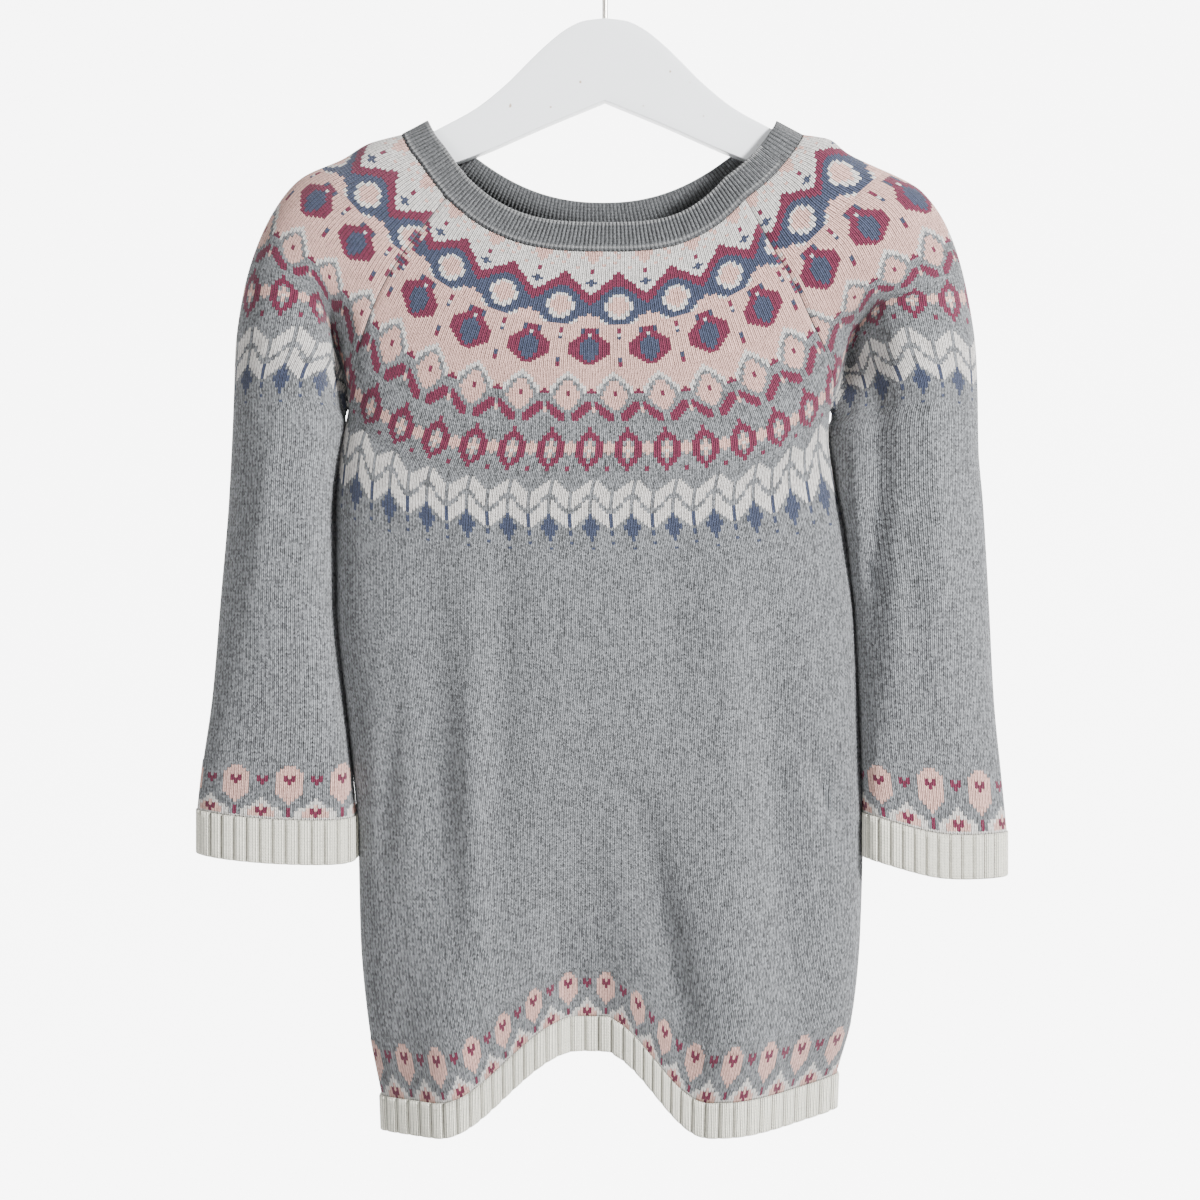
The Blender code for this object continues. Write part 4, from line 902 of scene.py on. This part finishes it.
for name, panel in panels.items():
    body = panel["kind"] == "body"
    panel["creases"] = creases[name]
    panel["seamStitches"] = seamStitches.get(name, ())
    panel["closedFrom"] = cloth["openCourse" if body else "sleeveUnderarm"]
    panel["insideColumns"] = 30 if body else 24
    panel["insideCourses"] = bodyInside if body else sleeveInside
    bands = bodyBands if body else sleeveBands
    panel["bands"] = [plannedBand(panel, *band, spot) for band, spot in zip(bands, panel["spots"])]


def onlyThis(piece):
    for other in bpy.context.selected_objects:
        other.select_set(False)
    bpy.context.view_layer.objects.active = piece
    piece.select_set(True)


def editing(piece):
    onlyThis(piece)
    bpy.ops.object.mode_set(mode="EDIT")
    return bmesh.from_edit_mesh(piece.data)


def finished(piece, skin):
    bpy.ops.object.mode_set(mode="OBJECT")
    bpy.ops.object.shade_smooth_by_angle(angle=math.radians(hanger["smoothAngle"]))
    piece.data.materials.append(skin)
    return piece


hanger = {
    "thick": 11.0,
    "round": 2.6,
    "roundSteps": 4,
    "sharp": 1.2,  # radians
    "smoothAngle": 40,  # this and the hook's angles are in degrees
    "columns": 110,
    "bands": 6,
    "wire": 1.6,
    "wireSides": 20,
    "wireTop": -70.0,
    "wireDepth": 14.0,
    "hookRadius": 21.5,
    "hookLean": 60,
    "hookEnd": 215,
    "ringSteps": 44,
    "bend": 15.0,
    "bendSteps": 10,
}
# the board's edges from its middle outwards, as (x, z); the left arm is a little longer than the right
boardTop = (
    (0, -70), (12, -71.5), (22, -76), (33, -84.5), (43, -94), (57, -108), (75, -122.5), (94, -133), (112, -141.8),
    (132, -148.4),
)
boardArmLeft = ((150, -154.2), (166, -160.7), (174, -166.0), (178.0, -170.5))
boardArmRight = ((148, -155.3), (163, -162.7), (171, -167.6), (175.6, -172.5))
boardLow = ((0, -118), (34, -132), (73, -149), (85, -153.5), (110, -162), (140, -171.5))
boardTipLeft = ((160, -175.5), (173, -177.0), (178.0, -174.5))
boardTipRight = ((158, -176.6), (170.5, -178.8), (175.6, -176.0))


def makeBoard(paint):
    bpy.ops.mesh.primitive_grid_add(
        x_subdivisions=hanger["columns"], y_subdivisions=hanger["bands"], size=1, location=(0, 0, 0)
    )
    board = bpy.context.object
    board.name = "hangerBoard"
    edges = {}
    for side, arm, tip in ((-1, boardArmLeft, boardTipLeft), (1, boardArmRight, boardTipRight)):
        top = np.array(boardTop + arm, float)
        low = np.array(boardLow + tip, float)
        edges[side] = (top, low)
    shape = editing(board)
    for vert in shape.verts:
        share = vert.co.x * 2
        side = -1 if share < 0 else 1
        top, low = edges[side]
        x = abs(share) * top[-1, 0]
        upper = between(top[:, 0], top[:, 1], x)[0]
        lower = between(low[:, 0], low[:, 1], x)[0]
        height = vert.co.y + 0.5
        vert.co = Vector((side * x, -hanger["thick"] / 2, lower + (upper - lower) * height)) * mm
    bmesh.update_edit_mesh(board.data)
    bpy.ops.mesh.select_all(action="SELECT")
    bpy.ops.mesh.extrude_region_move(TRANSFORM_OT_translate={"value": (0, hanger["thick"] * mm, 0)})
    bpy.ops.mesh.select_all(action="SELECT")
    bpy.ops.mesh.normals_make_consistent(inside=False)
    bpy.ops.mesh.select_all(action="DESELECT")
    shape = bmesh.from_edit_mesh(board.data)
    for edge in shape.edges:
        flat = abs(edge.verts[0].co.y - edge.verts[1].co.y) < 1e-6
        if flat and len(edge.link_faces) == 2 and edge.calc_face_angle(0) > hanger["sharp"]:
            edge.select = True
    bmesh.update_edit_mesh(board.data)
    bpy.ops.mesh.bevel(
        offset=hanger["round"] * mm, segments=hanger["roundSteps"], profile=0.5, affect="EDGES", clamp_overlap=True
    )
    return finished(board, paint)


def makeHook(metal):
    lean, bend, ring = math.radians(hanger["hookLean"]), hanger["bend"], hanger["hookRadius"]
    ringX, ringZ = 0.0, -(ring - hanger["wire"])
    startX, startZ = ring * math.cos(-lean), ringZ + ring * math.sin(-lean)
    bendX = bend * (1 - math.cos(lean))
    straight = (startX - bendX) / math.sin(lean)
    bendZ = startZ - bend * math.sin(lean) - straight * math.cos(lean)
    foot = hanger["wireTop"] - hanger["wireDepth"]
    bpy.ops.mesh.primitive_circle_add(
        vertices=hanger["wireSides"], radius=hanger["wire"] * mm, fill_type="NGON", location=(0, 0, foot * mm)
    )
    hook = bpy.context.object
    hook.name = "hangerHook"
    editing(hook)
    bpy.ops.mesh.select_all(action="SELECT")
    bpy.ops.mesh.extrude_region_move(TRANSFORM_OT_translate={"value": (0, 0, (bendZ - foot) * mm)})
    bpy.ops.mesh.spin(steps=hanger["bendSteps"], angle=-lean, center=(bend * mm, 0, bendZ * mm), axis=(0, 1, 0))
    move = (math.sin(lean) * straight * mm, 0, math.cos(lean) * straight * mm)
    bpy.ops.mesh.extrude_region_move(TRANSFORM_OT_translate={"value": move})
    sweep = math.radians(hanger["hookEnd"]) + lean
    bpy.ops.mesh.spin(steps=hanger["ringSteps"], angle=sweep, center=(ringX, 0, ringZ * mm), axis=(0, 1, 0))
    bpy.ops.mesh.select_all(action="SELECT")
    bpy.ops.mesh.remove_doubles(threshold=1e-6)
    bpy.ops.mesh.normals_make_consistent(inside=False)
    finished(hook, metal)
    bpy.ops.object.transform_apply(location=True, rotation=True, scale=True)
    return hook


def plainMaterial(name, colour, roughness, metallic=0.0):
    made = bpy.data.materials.new(name)
    made.use_nodes = True
    shader = made.node_tree.nodes["Principled BSDF"]
    setInputs(shader, {"Base Color": (*colour, 1), "Roughness": roughness, "Metallic": metallic})
    return made


paintLook = {"white": (0.82, 0.84, 0.86), "speck": (0.42, 0.34, 0.27), "roughness": 0.32, "speckScale": 170}


def wornPaint():  # white paint with a few brown specks
    made = plainMaterial("whitePaint", paintLook["white"], paintLook["roughness"])
    tree = made.node_tree
    place = tree.nodes.new("ShaderNodeTexCoord")
    specks = tree.nodes.new("ShaderNodeTexNoise")
    setInputs(specks, {"Scale": paintLook["speckScale"], "Detail": 2})
    tree.links.new(place.outputs["Object"], specks.inputs["Vector"])
    tones = tree.nodes.new("ShaderNodeValToRGB")
    for stop, position, tone in zip(tones.color_ramp.elements, (0.73, 0.76), ("white", "speck")):
        stop.position = position
        stop.color = (*paintLook[tone], 1)
    tree.links.new(specks.outputs["Fac"], tones.inputs["Fac"])
    tree.links.new(tones.outputs["Color"], tree.nodes["Principled BSDF"].inputs["Base Color"])
    return made


def roundRib(p):  # one knit wale, one purl wale
    return 0.5 - 0.5 * math.cos(2 * math.pi * p)


def broadRib(p):  # two knit wales raised, two purl wales sunk
    return 1 / (1 + math.exp(-26 * (0.38 - abs(p - 0.5))))


# "height" is the rib's length along the cloth, "pull" how far its lower edge draws in
# each rib table also sets how bright the painted shade leaves the yarn in the rib valleys
neckRib = {
    "ribs": 240, "steps": 6, "rows": 12, "wales": 2, "profile": roundRib, "raise": 0.9, "wall": 1.9, "soft": 0.05,
    "height": 16.5, "course": 1.7, "yarn": "rib", "edgeYarn": "ribEdge", "edgeRows": (1, 11, 12, 13, 14),
    "valley": 0.4, "cord": 1.2, "cordAt": 0.12, "cordWidth": 0.06, "inside": 0.5,
    "sideDepth": 14, "sideLean": 0.47, "sideDown": 0.88, "frontDown": 0.12,
}
hemRib = {
    "ribs": 40, "steps": 16, "rows": 6, "wales": 4, "profile": broadRib, "raise": 1.4, "wall": 1.8, "soft": 0.05,
    "height": 19.5, "pull": 0.994, "course": 1.7, "yarn": "cream", "edgeYarn": "cream", "edgeRows": (),
    "valley": 0.6, "cord": 0, "cordAt": 0, "cordWidth": 0.06, "inside": 0, "insideShade": 0.8,
}
cuffRib = {**hemRib, "ribs": 28, "soft": 0.04, "height": 25.0, "pull": 1}


def edgeRib(name, panel, course, size):  # a rib below a panel's last course
    shares = np.linspace(0, 1, 161)
    line = panelLine(panel, course, shares)
    above = panelLine(panel, course - 4, shares)
    inward = -gridNormals(np.array([above, line]), panel["flip"])[1]
    bottom = line * np.array([size["pull"], 1, 1]) + np.array([0, 0, -size["height"]])
    return ribbed(name, line, bottom, inward, size, panel["kind"] == "sleeve", wool)


def neckInward(point):  # the neck leans from level at the front and back to steep at the sides
    level = max(0.0, 1 - abs(point[1]) / neckRib["sideDepth"])
    side = -np.sign(point[0]) * neckRib["sideLean"] * level
    down = -neckRib["sideDown"] * level - neckRib["frontDown"] * (1 - level)
    return unit([side, -np.sign(point[1]) * (1 - level), down])


def neckLoop():
    shares = np.linspace(0, 1, 41)
    order = (("frontKnit", 1), ("sleeveRightKnit", 1), ("backKnit", -1), ("sleeveLeftKnit", -1))
    front, right, back, left = (panelLine(panels[name], 0, shares)[::step] for name, step in order)
    return np.vstack([front[:-1], right[:-1], back[:-1], left])


def makeNeck():
    loop = neckLoop()
    inward = np.array([neckInward(p) for p in loop])
    along = unit(np.roll(loop[:-1], -3, axis=0) - np.roll(loop[:-1], 3, axis=0))
    along = np.vstack([along, along[:1]])
    up = unit(np.cross(along, -inward))
    up = np.where(up[:, 2:3] < 0, -up, up)
    return ribbed("neckRib", loop, loop + up * neckRib["height"], inward, neckRib, True, wool)


print("knitting the panels")
pieces = {}
for name, panel in panels.items():
    pieces[name] = knit(name, panel, wool)
    print(name, len(pieces[name].data.polygons))

print("knitting the ribs")
for name, above, course, size in (
    ("hemRibFront", "frontKnit", cloth["hem"], hemRib),
    ("hemRibBack", "backKnit", cloth["hem"], hemRib),
    ("cuffRibLeft", "sleeveLeftKnit", cloth["cuff"], cuffRib),
    ("cuffRibRight", "sleeveRightKnit", cloth["cuff"], cuffRib),
):
    pieces[name] = edgeRib(name, panels[above], course, size)
pieces["neckRib"] = makeNeck()

print("making the hanger")
pieces["hangerBoard"] = makeBoard(wornPaint())
pieces["hangerHook"] = makeHook(plainMaterial("hookSteel", (0.5, 0.47, 0.43), 0.3, 1.0))

standsFor = {  # the solid that a piece replaces, and its slot
    "frontKnit": ("front", "grey_front"), "backKnit": ("back", "grey_back"),
    "sleeveLeftKnit": ("sleeve_left", "grey_sleeve"), "sleeveRightKnit": ("sleeve_right", "grey_sleeve"),
    "hemRibFront": ("hem_rib_front", "cream_rib"), "hemRibBack": ("hem_rib_back", "cream_rib"),
    "cuffRibLeft": ("cuff_left", "cream_rib"), "cuffRibRight": ("cuff_right", "cream_rib"),
    "neckRib": ("neckband", "grey_rib"),
    "hangerBoard": ("hanger_board", "painted_board"), "hangerHook": ("hanger_hook", "hook_wire"),
}
for name, (node, finish) in standsFor.items():
    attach(pieces[name], "root")
    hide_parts(node)


# floor, light and camera; a light has a place, a size and its watts
studio = {
    "floor": -1.8,
    "back": 3.6,
    "paper": 9,
    "paperGlow": 6.0,
    "worldLight": 0.38,
    "aim": (0, 0, -0.4),
    "lights": {
        "key": ((2.0, -1.6, 0.7), (0.5, 0.5), 300),
        "fill": ((-1.7, -1.7, 0.1), (0.8, 1.2), 34),
        "rear": ((0.6, 2.2, 0.9), (0.8, 0.8), 15),
    },
    "camera": (-0.0029, -1.52, -0.4091),
    "viewAngle": 2 * math.atan(0.3462 / 1.5),
}


def areaLight(name, place, size, power):
    light = bpy.data.lights.new(name, "AREA")
    light.shape = "RECTANGLE"
    light.size, light.size_y = size
    light.energy = power
    made = bpy.data.objects.new(name, light)
    made.location = place
    made.rotation_euler = (Vector(studio["aim"]) - Vector(place)).to_track_quat("-Z", "Y").to_euler()
    bpy.context.scene.collection.objects.link(made)


bpy.ops.mesh.primitive_plane_add(size=studio["paper"], location=(0, 0, studio["floor"]))
floor = bpy.context.object
floor.name = "floor"
floor.data.materials.append(plainMaterial("paleFloor", (0.7, 0.7, 0.7), 0.9))
bpy.ops.mesh.primitive_plane_add(
    size=studio["paper"], location=(0, studio["back"], 1.0), rotation=(math.pi / 2, 0, 0)
)
backdrop = bpy.context.object
backdrop.name = "backdrop"
paper = plainMaterial("backdropPaper", (0.86, 0.86, 0.86), 0.9)
glow = {"Emission Color": (1, 1, 1, 1), "Emission Strength": studio["paperGlow"]}
setInputs(paper.node_tree.nodes["Principled BSDF"], glow)
backdrop.data.materials.append(paper)

world = bpy.data.worlds.new("studio")
world.use_nodes = True
setInputs(world.node_tree.nodes["Background"], {"Color": (1, 1, 1, 1), "Strength": studio["worldLight"]})
bpy.context.scene.world = world
for name, light in studio["lights"].items():
    areaLight(name, *light)

lens = bpy.data.cameras.new("camera")
lens.sensor_fit = "HORIZONTAL"
lens.angle = studio["viewAngle"]
camera = bpy.data.objects.new("camera", lens)
camera.location = studio["camera"]
camera.rotation_euler = (math.pi / 2, 0, 0)
bpy.context.scene.collection.objects.link(camera)
bpy.context.scene.camera = camera
